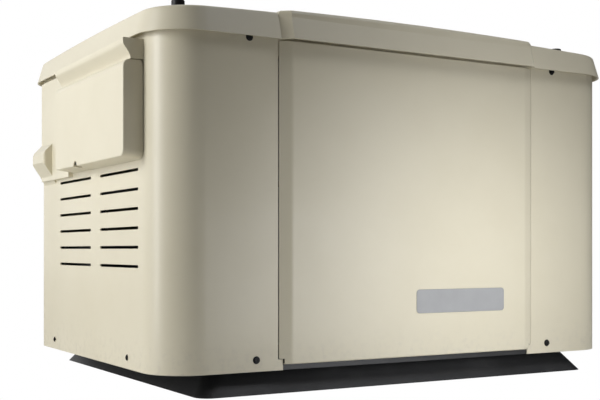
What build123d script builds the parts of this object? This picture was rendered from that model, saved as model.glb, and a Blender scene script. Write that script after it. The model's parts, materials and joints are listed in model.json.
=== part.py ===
from build123d import *
import math
import os

os.makedirs("parts", exist_ok=True)

# Home standby generator. All sizes in mm, +Z up, the front faces -Y, +X is on the viewer's right.
# The origin lies on the ground, under the middle of the enclosure.

# ---- enclosure ----
body_width = 914
body_depth = 660
corner_radius = 72
sheet = 2
wall_height = 515  # visible wall, from the pad to the lower edge of the lid
wall_tuck = 14  # wall hidden inside the lid
flange_width = 14
seam_inset = 196  # from each side wall to the front panel
rear_seam_inset = 150
seam_gap = 1.5

# ---- pad and base pan ----
pad_height = 36
pad_end_inset = 64
pad_flare = 27
pad_corner = 24
pan_gap = 0.5
pan_height = 40
anchor_spacing_x = 640
anchor_spacing_y = 500
anchor_radius = 6.5

# ---- lid ----
lid_overhang = 12
lid_draft = 10
fascia_height = 34.5
lid_height = 52.5  # from its lower edge to the middle of its roof
dome_radius = 10000
lid_edge_radius = 5.5
band_edge_radius = 6.5
lid_sheet = 3
band_proud = 13
band_raise = 2.6
band_bevel = 16
liner_thickness = 12
liner_inset = 22
gasket_height = 7

# ---- front panel ----
front_proud = 9
front_bevel = 20
front_foot = 9.3  # gap from the lower edge of the walls
front_head = 1.5  # gap to the lower edge of the lid
tab_width = 9
tab_height = 17
tab_gap = 1

# ---- side door with its drip rail, and the cowl behind it ----
door_start = 68  # from the front wall
door_length = 345
door_proud = 33
door_height = 151
door_drop = 38  # from the lower edge of the lid to the top of the door
door_pivot_in = 12
door_sheet = 2.5
door_gap = 1
rail_height = 31
rail_gap = 0.6
hinge_pin_radius = 2.5
running_gap = 0.05
cowl_start = 515
cowl_length = 75
cowl_proud = 25

# ---- louvres ----
louvre_height = 4.7
louvre_length = 176
louvre_pitch = 30
louvre_rows = 6
louvre_top = 312  # above the lower edge of the wall
louvre_near = 178
louvre_far = 402

# ---- engine and alternator line ----
engine_x = -5
engine_y = -60
shaft_height = 235
crankcase_length = 200
crankcase_radius = 100
crankcase_wall = 8
shaft_radius = 17.5
bearing_radius = 36
bearing_width = 18
cylinder_bore = 43
cylinder_height = 90
fin_width = 128
fin_count = 9
head_height = 50
rocker_height = 35
ring_gear_radius = 128
housing_radius = 141
housing_length = 103
stator_radius = 105
stator_length = 150
air_gap = 0.8
rotor_radius = 70
rail_width = 36
rail_height_engine = 20
mount_height = 25
mount_radius = 18
deck_spacing = 170

half_width = body_width / 2
half_depth = body_depth / 2
body_bottom = pad_height
lid_bottom = body_bottom + wall_height
wall_top = lid_bottom + wall_tuck
lid_crease = lid_bottom + fascia_height
seam_x = half_width - seam_inset
rear_seam_x = half_width - rear_seam_inset
pan_width = body_width - 2 * (sheet + pan_gap)
pan_depth = body_depth - 2 * (sheet + pan_gap)
pan_corner = corner_radius - sheet - pan_gap
pan_floor = body_bottom + sheet
inner_x = half_width - sheet
inner_y = half_depth - sheet


def keep(piece, name):
    piece.part.label = name
    export_step(piece.part, f"parts/{name}.step")


def outline(inset, mode=Mode.ADD):
    # the enclosure's plan, pulled in by inset
    RectangleRounded(body_width - 2 * inset, body_depth - 2 * inset, corner_radius - inset, mode=mode)


def wall_band(bottom, height, inset, width):
    # a closed band that follows the enclosure's plan
    with BuildSketch(Plane.XY.offset(bottom)) as band:
        outline(inset)
        outline(inset + width, mode=Mode.SUBTRACT)
    extrude(band.sketch, amount=height)


# ---- screws that hold the panels ----
screw_height = body_bottom + 18
screw_lid_drop = 0.5
screw_seam_out = 38
screw_top_out = 50
screw_radius = 2.6
screw_hole_gap = 0.3
screw_length = 9
screw_head_radius = 6
screw_head_height = 3.5
screw_side_y = 190
screw_rear_out = 20  # from the rear seam

front_screws = [
    Location((side * (seam_x + out), -half_depth, z), (90, 0, 0))
    for side in (-1, 1)
    for out, z in ((screw_seam_out, screw_height), (screw_top_out, lid_bottom - screw_lid_drop))
]
side_screws = [
    Location((side * half_width, y, screw_height), (0, 90 * side, 0))
    for side in (-1, 1)
    for y in (-screw_side_y, screw_side_y)
]
rear_screws = [
    Location((side * (rear_seam_x + out), half_depth, screw_height), (-90, 0, 0))
    for side in (-1, 1)
    for out in (-screw_rear_out, screw_rear_out)
]
panel_screw_places = front_screws + side_screws + rear_screws


def screw_holes():
    with Locations(*panel_screw_places):
        Cylinder(screw_radius + screw_hole_gap, 2 * screw_length, mode=Mode.SUBTRACT)


with BuildPart() as panel_screws:
    with Locations(*panel_screw_places):
        Cylinder(screw_radius, screw_length, align=(Align.CENTER, Align.CENTER, Align.MAX))
        Cylinder(screw_head_radius, screw_head_height, align=(Align.CENTER, Align.CENTER, Align.MIN))
keep(panel_screws, "panel_screws")


# ---- pad under the enclosure ----
pad_width = body_width - 2 * pad_end_inset
with BuildPart() as base_pad:
    with BuildSketch():
        RectangleRounded(pad_width, body_depth, pad_corner)
    with BuildSketch(Plane.XY.offset(pad_height)):
        RectangleRounded(pad_width - 2 * pad_flare, body_depth - 2 * pad_flare, pad_corner)
    loft()
    with GridLocations(anchor_spacing_x, anchor_spacing_y, 2, 2):
        Hole(anchor_radius)
keep(base_pad, "base_pad")

# ---- folded steel pan ----
with BuildPart() as base_pan:
    with BuildSketch(Plane.XY.offset(body_bottom)):
        RectangleRounded(pan_width, pan_depth, pan_corner)
    extrude(amount=pan_height)
    with BuildSketch(Plane.XY.offset(pan_floor)):
        RectangleRounded(pan_width - 2 * sheet, pan_depth - 2 * sheet, pan_corner - sheet)
    extrude(amount=pan_height, mode=Mode.SUBTRACT)
    with GridLocations(anchor_spacing_x, anchor_spacing_y, 2, 2):
        Hole(anchor_radius)
    screw_holes()
keep(base_pan, "base_pan")

# ---- lid locks: a barrel in the roof of the lid, with a cam under it ----
lock_side_inset = 61
lock_front_inset = 78
lock_barrel_radius = 9.5
lock_cap_radius = 10.5
lock_cap_height = 19.5
lock_cam_length = 34
lock_cam_width = 14
lock_cam_thickness = 3
lock_roof_gap = 0.06
lock_x = half_width - lock_side_inset
lock_y = -half_depth + lock_front_inset
cam_top = lid_bottom + 3
keeper_gap = 1.5
keeper_width = 24

# ---- door, rail and window places on the left wall ----
door_y = -half_depth + door_start
door_top = lid_bottom - door_drop
door_bottom = door_top - door_height
door_mid_y = door_y + door_length / 2
pivot_x = -half_width - door_proud + door_pivot_in
pivot_z = door_top - door_pivot_in
wall_x = -half_width
ear_width = 6
ear_inset = 9
ear_radius = 6
ear_drop = 26
window_margin_y = 28
window_top_margin = 22
window_bottom_margin = 24
window_length = door_length - 2 * window_margin_y
window_bottom = door_bottom + window_bottom_margin
window_top = door_top - window_top_margin
window_height = window_top - window_bottom
window_z = (window_top + window_bottom) / 2


def side_panel(side):
    # one wall with both of its corners, from the front seam to the rear seam
    wall_band(body_bottom, wall_top - body_bottom, 0, sheet)
    wall_band(wall_top - sheet, sheet, sheet, flange_width)
    with BuildSketch(Plane.XY.offset(body_bottom)) as kept:
        front_run = half_width - seam_x
        rear_run = half_width - rear_seam_x
        with Locations((side * (half_width - front_run / 2), -half_depth / 2)):
            Rectangle(front_run, half_depth)
        with Locations((side * (half_width - rear_run / 2), half_depth / 2)):
            Rectangle(rear_run, half_depth)
    extrude(kept.sketch, amount=wall_height + wall_tuck, mode=Mode.INTERSECT)
    # folds along the front and rear seams, clear of the pan's rim
    fold_bottom = body_bottom + pan_height + 4
    fold_height = wall_top - fold_bottom
    fold_y = half_depth - flange_width / 2
    for x, y in ((seam_x, -fold_y), (rear_seam_x, fold_y)):
        with Locations((side * (x + sheet / 2), y, fold_bottom + fold_height / 2)):
            Box(sheet, flange_width, fold_height)
    # keeper for the lock's cam, folded in from the wall
    reach = half_width - lock_x - lock_cam_width
    with Locations((side * (half_width - sheet - reach / 2), lock_y, cam_top + keeper_gap + sheet / 2)):
        Box(reach, keeper_width, sheet)
    # foot tab under the corner of the front panel
    with Locations((side * (seam_x - tab_width / 2), -half_depth + sheet / 2, body_bottom + tab_height / 2)):
        Box(tab_width, sheet, tab_height)
    screw_holes()


def louvre_field(x, rows, pitch, top, centres, slot):
    # rows of long slots through a side wall; slot is the length and height of one
    with BuildSketch(Plane.YZ.offset(x)) as slots:
        for row in range(rows):
            with Locations(*[(y, top - row * pitch) for y in centres]):
                SlotOverall(*slot)
    extrude(slots.sketch, amount=2 * sheet, both=True, mode=Mode.SUBTRACT)


with BuildPart() as left_side_panel:
    side_panel(-1)
    louvre_centres = (-half_depth + louvre_near, -half_depth + louvre_far)
    louvre_z = body_bottom + louvre_top
    louvre_slot = (louvre_length, louvre_height)
    louvre_field(-half_width, louvre_rows, louvre_pitch, louvre_z, louvre_centres, louvre_slot)
    with BuildSketch(Plane.YZ.offset(-half_width)):
        with Locations((door_mid_y, window_z)):
            RectangleRounded(window_length, window_height, 8)
    extrude(amount=2 * sheet, both=True, mode=Mode.SUBTRACT)
    # ears that hold the door's pin
    for y in (door_y + ear_inset, door_y + door_length - ear_inset):
        with BuildSketch(Plane.XZ.offset(-y)):
            with BuildLine():
                Polyline(
                    (wall_x, pivot_z - 2),
                    (wall_x, pivot_z - ear_drop),
                    (pivot_x, pivot_z - ear_radius),
                    (pivot_x, pivot_z - 2),
                    close=True,
                )
            make_face()
            with Locations((pivot_x, pivot_z)):
                Circle(ear_radius)
                Circle(hinge_pin_radius, mode=Mode.SUBTRACT)
        extrude(amount=ear_width / 2, both=True)
keep(left_side_panel, "left_side_panel")

# ---- exhaust line places that the right wall needs ----
muffler_radius = 60
muffler_length = 320
muffler_y = 215
muffler_x = engine_x + muffler_length / 2 - 60
tail_radius = 17
tail_hole_gap = 7
tail_stub = 9
outlet_rows = 9
outlet_pitch = 26
outlet_slot = (150, 7)
outlet_centres = (-180, -10)
outlet_top = 300

with BuildPart() as right_side_panel:
    side_panel(1)
    outlet_z = body_bottom + outlet_top
    louvre_field(half_width, outlet_rows, outlet_pitch, outlet_z, outlet_centres, outlet_slot)
    with BuildSketch(Plane.YZ.offset(half_width)):
        with Locations((muffler_y, shaft_height)):
            Circle(tail_radius + tail_hole_gap)
    extrude(amount=2 * sheet, both=True, mode=Mode.SUBTRACT)
keep(right_side_panel, "right_side_panel")

# ---- back panel with air slots, gas inlet and conduit hole ----
gas_x = -165
gas_z = 440
gas_hole_radius = 19
conduit_x = 200
conduit_z = 150
conduit_radius = 14.3
back_slot_rows = 7
back_slot_pitch = 24
back_slot_length = 170
back_slot_x = 105
back_slot_height = 7
back_slot_top = 300
back_width = 2 * (rear_seam_x - seam_gap)

with BuildPart() as back_panel:
    with BuildSketch(Plane.XZ.offset(-half_depth)):
        with Locations((0, (body_bottom + wall_top) / 2)):
            Rectangle(back_width, wall_top - body_bottom)
        with Locations((gas_x, gas_z)):
            Circle(gas_hole_radius, mode=Mode.SUBTRACT)
        with Locations((conduit_x, conduit_z)):
            Circle(conduit_radius, mode=Mode.SUBTRACT)
        for row in range(back_slot_rows):
            row_z = back_slot_top - row * back_slot_pitch
            with Locations((-back_slot_x, row_z), (back_slot_x, row_z)):
                SlotOverall(back_slot_length, back_slot_height, mode=Mode.SUBTRACT)
    extrude(amount=sheet)
    with Locations((0, inner_y - flange_width / 2, wall_top - sheet / 2)):
        Box(back_width, flange_width, sheet)
    screw_holes()
keep(back_panel, "back_panel")

# ---- header that joins the side panels above the front panel ----
header_height = 40
header_width = 2 * seam_x
with BuildPart() as front_header:
    with Locations((0, -half_depth + sheet / 2 + 1, wall_top - header_height / 2)):
        Box(header_width, sheet, header_height)
    with Locations((0, -half_depth + 1 + flange_width / 2, wall_top - sheet / 2)):
        Box(header_width, flange_width, sheet)
    with Locations((0, -half_depth + 1 + flange_width / 2, wall_top - header_height + sheet / 2)):
        Box(header_width, flange_width, sheet)
keep(front_header, "front_header")

# ---- lift-off front panel: a shallow pan with bevelled sides ----
front_half = seam_x - seam_gap
front_bottom = body_bottom + front_foot
front_top = lid_bottom - front_head
front_face_y = -half_depth - front_proud
front_back_y = -half_depth + 0.5
front_rim_y = -half_depth - 1

with BuildPart() as front_panel:
    with BuildSketch(Plane.XY.offset(front_bottom)):
        with BuildLine():
            Polyline(
                (-front_half, front_back_y),
                (-front_half, front_rim_y),
                (-front_half + front_bevel, front_face_y),
                (front_half - front_bevel, front_face_y),
                (front_half, front_rim_y),
                (front_half, front_back_y),
                close=True,
            )
        make_face()
    extrude(amount=front_top - front_bottom)
    bevel_edges = front_panel.edges().filter_by(Axis.Z).group_by(Axis.Y)[0]
    fillet(bevel_edges, radius=14)
    fillet(front_panel.faces().sort_by(Axis.Y)[0].edges().group_by(Axis.Z)[0], radius=2.5)
    offset(amount=-sheet * 0.75, openings=front_panel.faces().sort_by(Axis.Y)[-1])
    notch_width = tab_width + tab_gap
    notch_height = tab_height + tab_gap - front_foot
    for side in (-1, 1):
        with Locations((side * (seam_x - notch_width / 2), -half_depth, front_bottom + notch_height / 2)):
            Box(notch_width, 4 * front_proud, notch_height, mode=Mode.SUBTRACT)
keep(front_panel, "front_panel")


# ---- lid ----
lid_top = lid_bottom + lid_height
roof_overhang = lid_overhang - lid_draft


def roof_z(x, y):
    return lid_top - (x ** 2 + y ** 2) / (2 * dome_radius)


def dome_cut(top):
    # keep what lies under a very wide sphere, whose poles lie sideways
    with Locations((0, 0, top - dome_radius)):
        Sphere(dome_radius, rotation=(90, 0, 0), mode=Mode.INTERSECT)


def lid_main(inset):
    # the lid's own outline: drafted walls up to a domed roof with a rolled edge
    low = lid_overhang - inset
    with BuildPart(mode=Mode.PRIVATE) as form:
        with BuildSketch(Plane.XY.offset(lid_bottom)):
            outline(-low)
        with BuildSketch(Plane.XY.offset(lid_bottom + 2 * fascia_height)):
            outline(2 * lid_draft - low)
        loft(ruled=True)
        dome_cut(lid_top - inset)
        fillet(form.faces().sort_by(Axis.Z)[-1].edges(), radius=lid_edge_radius - inset)
    return form.part


def band_plan(front, rear, half):
    with BuildLine() as plan:
        Polyline(
            (-half, rear),
            (-half, front + band_proud),
            (-half + band_bevel, front),
            (half - band_bevel, front),
            (half, front + band_proud),
            (half, rear),
            close=True,
        )
    make_face(plan.edges())


def lid_band(inset):
    # the raised band across the middle of the lid, which also caps the front panel
    low = lid_overhang - inset
    high = roof_overhang - inset
    half = seam_x - inset
    rear_low = half_depth + low
    rear_high = half_depth + high
    with BuildPart(mode=Mode.PRIVATE) as skirt:
        with BuildSketch(Plane.XY.offset(lid_bottom)):
            band_plan(-half_depth - low - band_proud, rear_low, half)
        with BuildSketch(Plane.XY.offset(lid_crease)):
            band_plan(-half_depth - high - band_proud, rear_high, half)
        loft(ruled=True)
    with BuildPart(mode=Mode.PRIVATE) as roof:
        with BuildSketch(Plane.XY.offset(lid_crease)):
            band_plan(-half_depth - high - band_proud, rear_high, half)
        extrude(amount=100)
        dome_cut(lid_top + band_raise - inset)
        fillet(roof.faces().sort_by(Axis.Z)[-1].edges(), radius=band_edge_radius - inset)
    return roof.part + skirt.part


lid_outer = lid_main(0) + lid_band(0)
lid_inner = lid_main(lid_sheet) + lid_band(lid_sheet)
with BuildPart() as lid:
    add(lid_outer)
    add(lid_inner, mode=Mode.SUBTRACT)
    with Locations((-lock_x, lock_y, lid_top), (lock_x, lock_y, lid_top)):
        Cylinder(lock_barrel_radius + lock_roof_gap, 80, mode=Mode.SUBTRACT)
keep(lid, "lid")

# ---- foam liner under the roof and the gasket on the wall flange ----
gasket_bottom = wall_top
liner_bottom = gasket_bottom + gasket_height
liner_hole_radius = 20
with BuildPart() as lid_liner:
    with BuildSketch(Plane.XY.offset(liner_bottom)):
        outline(4)
    extrude(amount=2)
    with BuildSketch(Plane.XY.offset(liner_bottom)):
        outline(liner_inset)
    extrude(amount=liner_thickness)
    with Locations((-lock_x, lock_y, liner_bottom), (lock_x, lock_y, liner_bottom)):
        Cylinder(liner_hole_radius, 80, mode=Mode.SUBTRACT)
keep(lid_liner, "lid_liner")

with BuildPart() as lid_gasket:
    wall_band(gasket_bottom, gasket_height, 3, 10)
keep(lid_gasket, "lid_gasket")

# ---- lid hinges at the back ----
lid_hinge_out = 19  # axis, behind the back wall
lid_hinge_x = 250
hinge_knuckle_radius = 6
hinge_pin_lid_radius = 3
hinge_length = 70
hinge_leaf_height = 45
hinge_leaf = 3
axis_y = half_depth + lid_hinge_out
axis_z = lid_bottom
leaf_low = axis_z - 14
knuckle_length = (hinge_length - 4) / 3
draft_slope = lid_draft / fascia_height


def knuckles(spots, width, mode=Mode.ADD):
    for x in spots:
        with BuildSketch(Plane.YZ.offset(x)) as ring:
            with Locations((axis_y, axis_z)):
                Circle(hinge_knuckle_radius)
        extrude(ring.sketch, amount=width / 2, both=True, mode=mode)


def pin_bore(radius):
    with BuildSketch(Plane.YZ) as bore:
        with Locations((axis_y, axis_z)):
            Circle(radius)
    extrude(bore.sketch, amount=half_width, both=True, mode=Mode.SUBTRACT)


hinge_centres = (-lid_hinge_x, lid_hinge_x)
outer_knuckles = [x + side * (knuckle_length + 1) for x in hinge_centres for side in (-1, 1)]
with BuildPart() as hinge_leaves_body:
    for x in outer_knuckles:
        with BuildSketch(Plane.YZ.offset(x)):
            with BuildLine():
                Polyline(
                    (half_depth, leaf_low - hinge_leaf_height),
                    (half_depth + hinge_leaf, leaf_low - hinge_leaf_height),
                    (half_depth + hinge_leaf, leaf_low),
                    (axis_y + hinge_knuckle_radius, axis_z),
                    (axis_y, axis_z),
                    (half_depth, leaf_low + 4),
                    close=True,
                )
            make_face()
        extrude(amount=knuckle_length / 2, both=True)
    for x in hinge_centres:
        with Locations((x, half_depth + hinge_leaf / 2, leaf_low - hinge_leaf_height / 2)):
            Box(hinge_length, hinge_leaf, hinge_leaf_height)
    knuckles(outer_knuckles, knuckle_length)
    pin_bore(hinge_pin_lid_radius)
keep(hinge_leaves_body, "hinge_leaves_body")

leaf_base = lid_bottom + 6
leaf_tip = lid_bottom + 28


def fascia_y(z):
    return half_depth + lid_overhang - (z - lid_bottom) * draft_slope


with BuildPart() as hinge_leaves_lid:
    for x in hinge_centres:
        with BuildSketch(Plane.YZ.offset(x)):
            with BuildLine():
                Polyline(
                    (fascia_y(leaf_base), leaf_base),
                    (axis_y - hinge_knuckle_radius, axis_z + 3),
                    (axis_y, axis_z + 1),
                    (axis_y + hinge_knuckle_radius, axis_z + 3),
                    (fascia_y(leaf_tip) + hinge_leaf, leaf_tip),
                    (fascia_y(leaf_tip), leaf_tip),
                    close=True,
                )
            make_face()
        extrude(amount=knuckle_length / 2, both=True)
    knuckles(hinge_centres, knuckle_length)
    pin_bore(hinge_pin_lid_radius + running_gap)
keep(hinge_leaves_lid, "hinge_leaves_lid")

# ---- lid locks ----
edge_z = roof_z(lock_x, lock_y)
lock_top = edge_z + 1


def lid_lock(x):
    with Locations((x, lock_y, lock_top)):
        Cylinder(lock_cap_radius, lock_cap_height, align=(Align.CENTER, Align.CENTER, Align.MIN))
        Cylinder(lock_barrel_radius, lock_top - cam_top, align=(Align.CENTER, Align.CENTER, Align.MAX))
    with Locations((x, lock_y + lock_cam_length / 2, cam_top - lock_cam_thickness / 2)):
        Box(lock_cam_width, lock_cam_length + lock_cam_width, lock_cam_thickness)
    slot_z = lock_top + lock_cap_height
    with Locations((x, lock_y, slot_z)):
        Box(lock_cap_radius, 2, 3, mode=Mode.SUBTRACT)


with BuildPart() as lid_lock_left:
    lid_lock(-lock_x)
    fillet(lid_lock_left.faces().sort_by(Axis.Z)[-1].edges().filter_by(GeomType.CIRCLE), radius=2)
keep(lid_lock_left, "lid_lock_left")

with BuildPart() as lid_lock_right:
    lid_lock(lock_x)
    fillet(lid_lock_right.faces().sort_by(Axis.Z)[-1].edges().filter_by(GeomType.CIRCLE), radius=2)
keep(lid_lock_right, "lid_lock_right")

# ---- drip rail over the side door ----
groove = door_pivot_in  # depth of the groove between rail and door
rail_bottom = door_top + rail_gap
rail_top = rail_bottom + rail_height
with BuildPart() as hood_rail:
    with BuildSketch(Plane.XZ.offset(-door_y)):
        with BuildLine():
            Polyline(
                (wall_x - door_proud, rail_top - 4),
                (wall_x - door_proud, rail_top),
                (wall_x, rail_top),
                (wall_x, rail_bottom),
                (wall_x - door_proud + groove, rail_bottom),
            )
            # ogee: a shallow round under the top edge, then a hollow down to the groove
            Spline(
                (wall_x - door_proud + groove, rail_bottom),
                (wall_x - door_proud + groove * 0.75, rail_bottom + rail_height * 0.3),
                (wall_x - door_proud + groove * 0.3, rail_bottom + rail_height * 0.55),
                (wall_x - door_proud, rail_top - 4),
                tangents=((0, 1), (0, 1)),
            )
        make_face()
    extrude(amount=-door_length)
    fillet(hood_rail.edges().group_by(Axis.Z)[-1].sort_by(Axis.X)[0], radius=1.5)
keep(hood_rail, "hood_rail")

# ---- side door ----
door_lip_rise = 4
door_corner = 12
pin_cover = 0.9  # skin left over each end of the pin's bore
door_face_x = wall_x - door_proud
notch_radius = 9
notch_y = door_y + door_length * 0.67


def door_form(inset, back):
    # the door's outer form pulled in by inset, open towards the wall at back
    with BuildSketch(Plane.XZ.offset(-door_y - inset)) as profile:
        with BuildLine():
            low = door_bottom + inset
            Polyline(
                (pivot_x, door_top - inset),
                (back, door_top - inset),
                (back, low),
                (door_face_x + inset, low + door_lip_rise),
                (door_face_x + inset, pivot_z),
            )
            RadiusArc((door_face_x + inset, pivot_z), (pivot_x, door_top - inset), door_pivot_in - inset)
        make_face()
    extrude(profile.sketch, amount=-(door_length - 2 * inset))


def foot_edges(form):
    # the edges at both ends of the door's sloping foot
    return form.edges().filter_by(lambda edge: abs((edge % 0.5).X) > 0.9).group_by(Axis.Z)[0]


door_back = wall_x - door_gap
with BuildPart(mode=Mode.PRIVATE) as door_hollow:
    door_form(door_sheet, door_back + 1)
    fillet(foot_edges(door_hollow), radius=door_corner - door_sheet)
with BuildPart() as hood_door:
    door_form(0, door_back)
    fillet(foot_edges(hood_door), radius=door_corner)
    fillet(hood_door.faces().filter_by(Plane.YZ).sort_by(Axis.X)[0].edges(), radius=2)
    add(door_hollow.part, mode=Mode.SUBTRACT)
    # the top sheet stops short of the wall, so that the open door clears its ears
    top_reach = door_back - pivot_x
    with Locations((door_back - top_reach / 2 + door_sheet, door_mid_y, pivot_z + door_pivot_in / 2)):
        Box(top_reach, door_length - 2 * door_sheet, 2 * door_pivot_in, mode=Mode.SUBTRACT)
    # the upper back corner of each end swings past the wall, so it is round about the pin
    with BuildSketch(Plane.XZ.offset(-door_y)):
        with Locations((pivot_x + top_reach, pivot_z + door_pivot_in)):
            Rectangle(2 * top_reach, 2 * door_pivot_in)
        with Locations((pivot_x, pivot_z)):
            Circle(top_reach, mode=Mode.SUBTRACT)
    extrude(amount=-door_length, mode=Mode.SUBTRACT)
    with BuildSketch(Plane.XZ.offset(-door_y - pin_cover)):
        with Locations((pivot_x, pivot_z)):
            Circle(hinge_pin_radius + running_gap)
    extrude(amount=-(door_length - 2 * pin_cover), mode=Mode.SUBTRACT)
    with BuildSketch(Plane.YZ.offset(door_face_x)):
        with Locations((notch_y, door_bottom + door_lip_rise)):
            Circle(notch_radius)
    extrude(amount=16, mode=Mode.SUBTRACT)
keep(hood_door, "hood_door")

with BuildPart() as hinge_pins:
    with BuildSketch(Plane.XZ.offset(-door_y - pin_cover - running_gap)):
        with Locations((pivot_x, pivot_z)):
            Circle(hinge_pin_radius)
    extrude(amount=-(door_length - 2 * (pin_cover + running_gap)))
    for x in hinge_centres:
        with BuildSketch(Plane.YZ.offset(x - hinge_length / 2)):
            with Locations((axis_y, axis_z)):
                Circle(hinge_pin_lid_radius)
        extrude(amount=hinge_length)
keep(hinge_pins, "hinge_pins")

# ---- raised trim behind the door, with the cowl that swells out of it ----
cowl_y = -half_depth + cowl_start
cowl_top = lid_bottom - 118
cowl_sheet = 2.5
trim_proud = 8
trim_gap = 1.5
trim_start = door_y + door_length + trim_gap
trim_end = cowl_y + cowl_length
trim_bottom = door_bottom - 6
with BuildPart(mode=Mode.PRIVATE) as cowl_form:
    with BuildSketch(Plane.XZ.offset(-trim_start)):
        with Locations((wall_x - trim_proud / 2, (rail_top + trim_bottom) / 2)):
            Rectangle(trim_proud, rail_top - trim_bottom)
    extrude(amount=-(trim_end - trim_start))
    fillet(cowl_form.faces().sort_by(Axis.X)[0].edges().filter_by(Axis.Z).sort_by(Axis.Y)[-1], radius=7)
    with BuildSketch(Plane.XZ.offset(-cowl_y)):
        with BuildLine():
            Polyline(
                (wall_x, cowl_top),
                (wall_x - cowl_proud * 0.85, cowl_top - 22),
                (wall_x - cowl_proud, cowl_top - 30),
                (wall_x - cowl_proud, cowl_top - 44),
                (wall_x - cowl_proud * 0.4, cowl_top - 66),
                (wall_x, cowl_top - 84),
                close=True,
            )
        make_face()
    extrude(amount=-cowl_length)
    fillet(cowl_form.faces().group_by(Axis.X)[0].edges().filter_by(Axis.Z), radius=5)
with BuildPart() as side_cowl:
    add(cowl_form.part)
    offset(amount=-cowl_sheet, openings=side_cowl.faces().sort_by(Axis.X)[-1])
keep(side_cowl, "side_cowl")

# ---- divider between the control side and the engine side ----
divider_x = -223
divider_top_gap = 14
divider_inlet = 100
cable_z = 310
cable_radius = 5
cable_hole_gap = 3
starter_y = engine_y - ring_gear_radius - 14
ground_y = -280
with BuildPart() as divider_panel:
    divider_z = (pan_floor + wall_top - divider_top_gap) / 2
    divider_height = wall_top - divider_top_gap - pan_floor
    with Locations((divider_x, 0, divider_z)):
        Box(sheet, body_depth - 40, divider_height)
    with Locations((divider_x - 8, 0, wall_top - divider_top_gap - sheet / 2)):
        Box(16, body_depth - 60, sheet)
    with BuildSketch(Plane.YZ.offset(divider_x)):
        with Locations((engine_y, shaft_height)):
            Circle(divider_inlet)
        with Locations((starter_y, cable_z), (ground_y, cable_z + 20)):
            Circle(cable_radius + cable_hole_gap)
    extrude(amount=3 * sheet, both=True, mode=Mode.SUBTRACT)
keep(divider_panel, "divider_panel")

# ---- control panel behind the side door ----
panel_recess = 15
panel_x = -half_width + sheet + panel_recess
box_depth = 95
box_margin = 12
button_radius = 9
button_gap = 0.4
button_stand = 4
button_z = window_z + 8
button_pitch = 32
button_y = door_mid_y + 119
breaker_y = door_mid_y - 95
breaker_width = 26
breaker_height = 78
breaker_depth = 60
toggle_radius = 7
fuse_y = button_y - button_pitch
fuse_z = window_z - 28
fuse_radius = 8
lens_width = 92
lens_height = 44
lens_y = door_mid_y - 10
lens_z = window_z + 6
button_ys = [button_y - step * button_pitch for step in range(3)]

with BuildPart() as control_panel:
    plate_length = window_length + 2 * box_margin
    plate_height = window_height + 2 * box_margin
    with Locations((panel_x + box_depth / 2, door_mid_y, window_z)):
        Box(box_depth, plate_length, plate_height)
    with Locations((panel_x + sheet + box_depth / 2, door_mid_y, window_z)):
        Box(box_depth, plate_length - 2 * sheet, plate_height - 2 * sheet, mode=Mode.SUBTRACT)
    with BuildSketch(Plane.YZ.offset(panel_x - 1)):
        with Locations(*[(y, button_z) for y in button_ys]):
            Circle(button_radius + button_gap)
        with Locations((lens_y, lens_z)):
            Rectangle(lens_width, lens_height)
        with Locations((breaker_y, window_z)):
            Rectangle(breaker_width, breaker_height)
        with Locations((fuse_y, fuse_z)):
            Circle(fuse_radius + button_gap)
    extrude(amount=sheet + 2, mode=Mode.SUBTRACT)
    # collar that joins the box to the wall
    with BuildSketch(Plane.YZ.offset(-inner_x)):
        with Locations((door_mid_y, window_z)):
            RectangleRounded(window_length + 14, window_height + 14, 10)
            RectangleRounded(window_length + 4, window_height + 4, 8, mode=Mode.SUBTRACT)
    extrude(amount=panel_recess)
keep(control_panel, "control_panel")

with BuildPart() as display_lens:
    with Locations((panel_x + 1, lens_y, lens_z)):
        Box(4, lens_width, lens_height)
    fillet(display_lens.faces().sort_by(Axis.X)[0].edges(), radius=0.8)
keep(display_lens, "display_lens")


def push_button(y):
    with BuildSketch(Plane.YZ.offset(panel_x - button_stand)) as face:
        with Locations((y, button_z)):
            Circle(button_radius)
    extrude(face.sketch, amount=button_stand + sheet)
    with BuildSketch(Plane.YZ.offset(panel_x + sheet + 0.2)) as collar:
        with Locations((y, button_z)):
            Circle(button_radius + 2)
    extrude(collar.sketch, amount=2)
    with BuildSketch(Plane.YZ.offset(panel_x + sheet)) as neck:
        with Locations((y, button_z)):
            Circle(button_radius - 2)
    extrude(neck.sketch, amount=10)


with BuildPart() as button_auto:
    push_button(button_ys[0])
    fillet(button_auto.faces().sort_by(Axis.X)[0].edges(), radius=1.2)
keep(button_auto, "button_auto")

with BuildPart() as button_off:
    push_button(button_ys[1])
    fillet(button_off.faces().sort_by(Axis.X)[0].edges(), radius=1.2)
keep(button_off, "button_off")

with BuildPart() as button_manual:
    push_button(button_ys[2])
    fillet(button_manual.faces().sort_by(Axis.X)[0].edges(), radius=1.2)
keep(button_manual, "button_manual")

with BuildPart() as fuse:
    with BuildSketch(Plane.YZ.offset(panel_x - 5)):
        with Locations((fuse_y, fuse_z)):
            Circle(fuse_radius)
    extrude(amount=30)
    fillet(fuse.faces().sort_by(Axis.X)[0].edges(), radius=1.5)
keep(fuse, "fuse")

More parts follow.
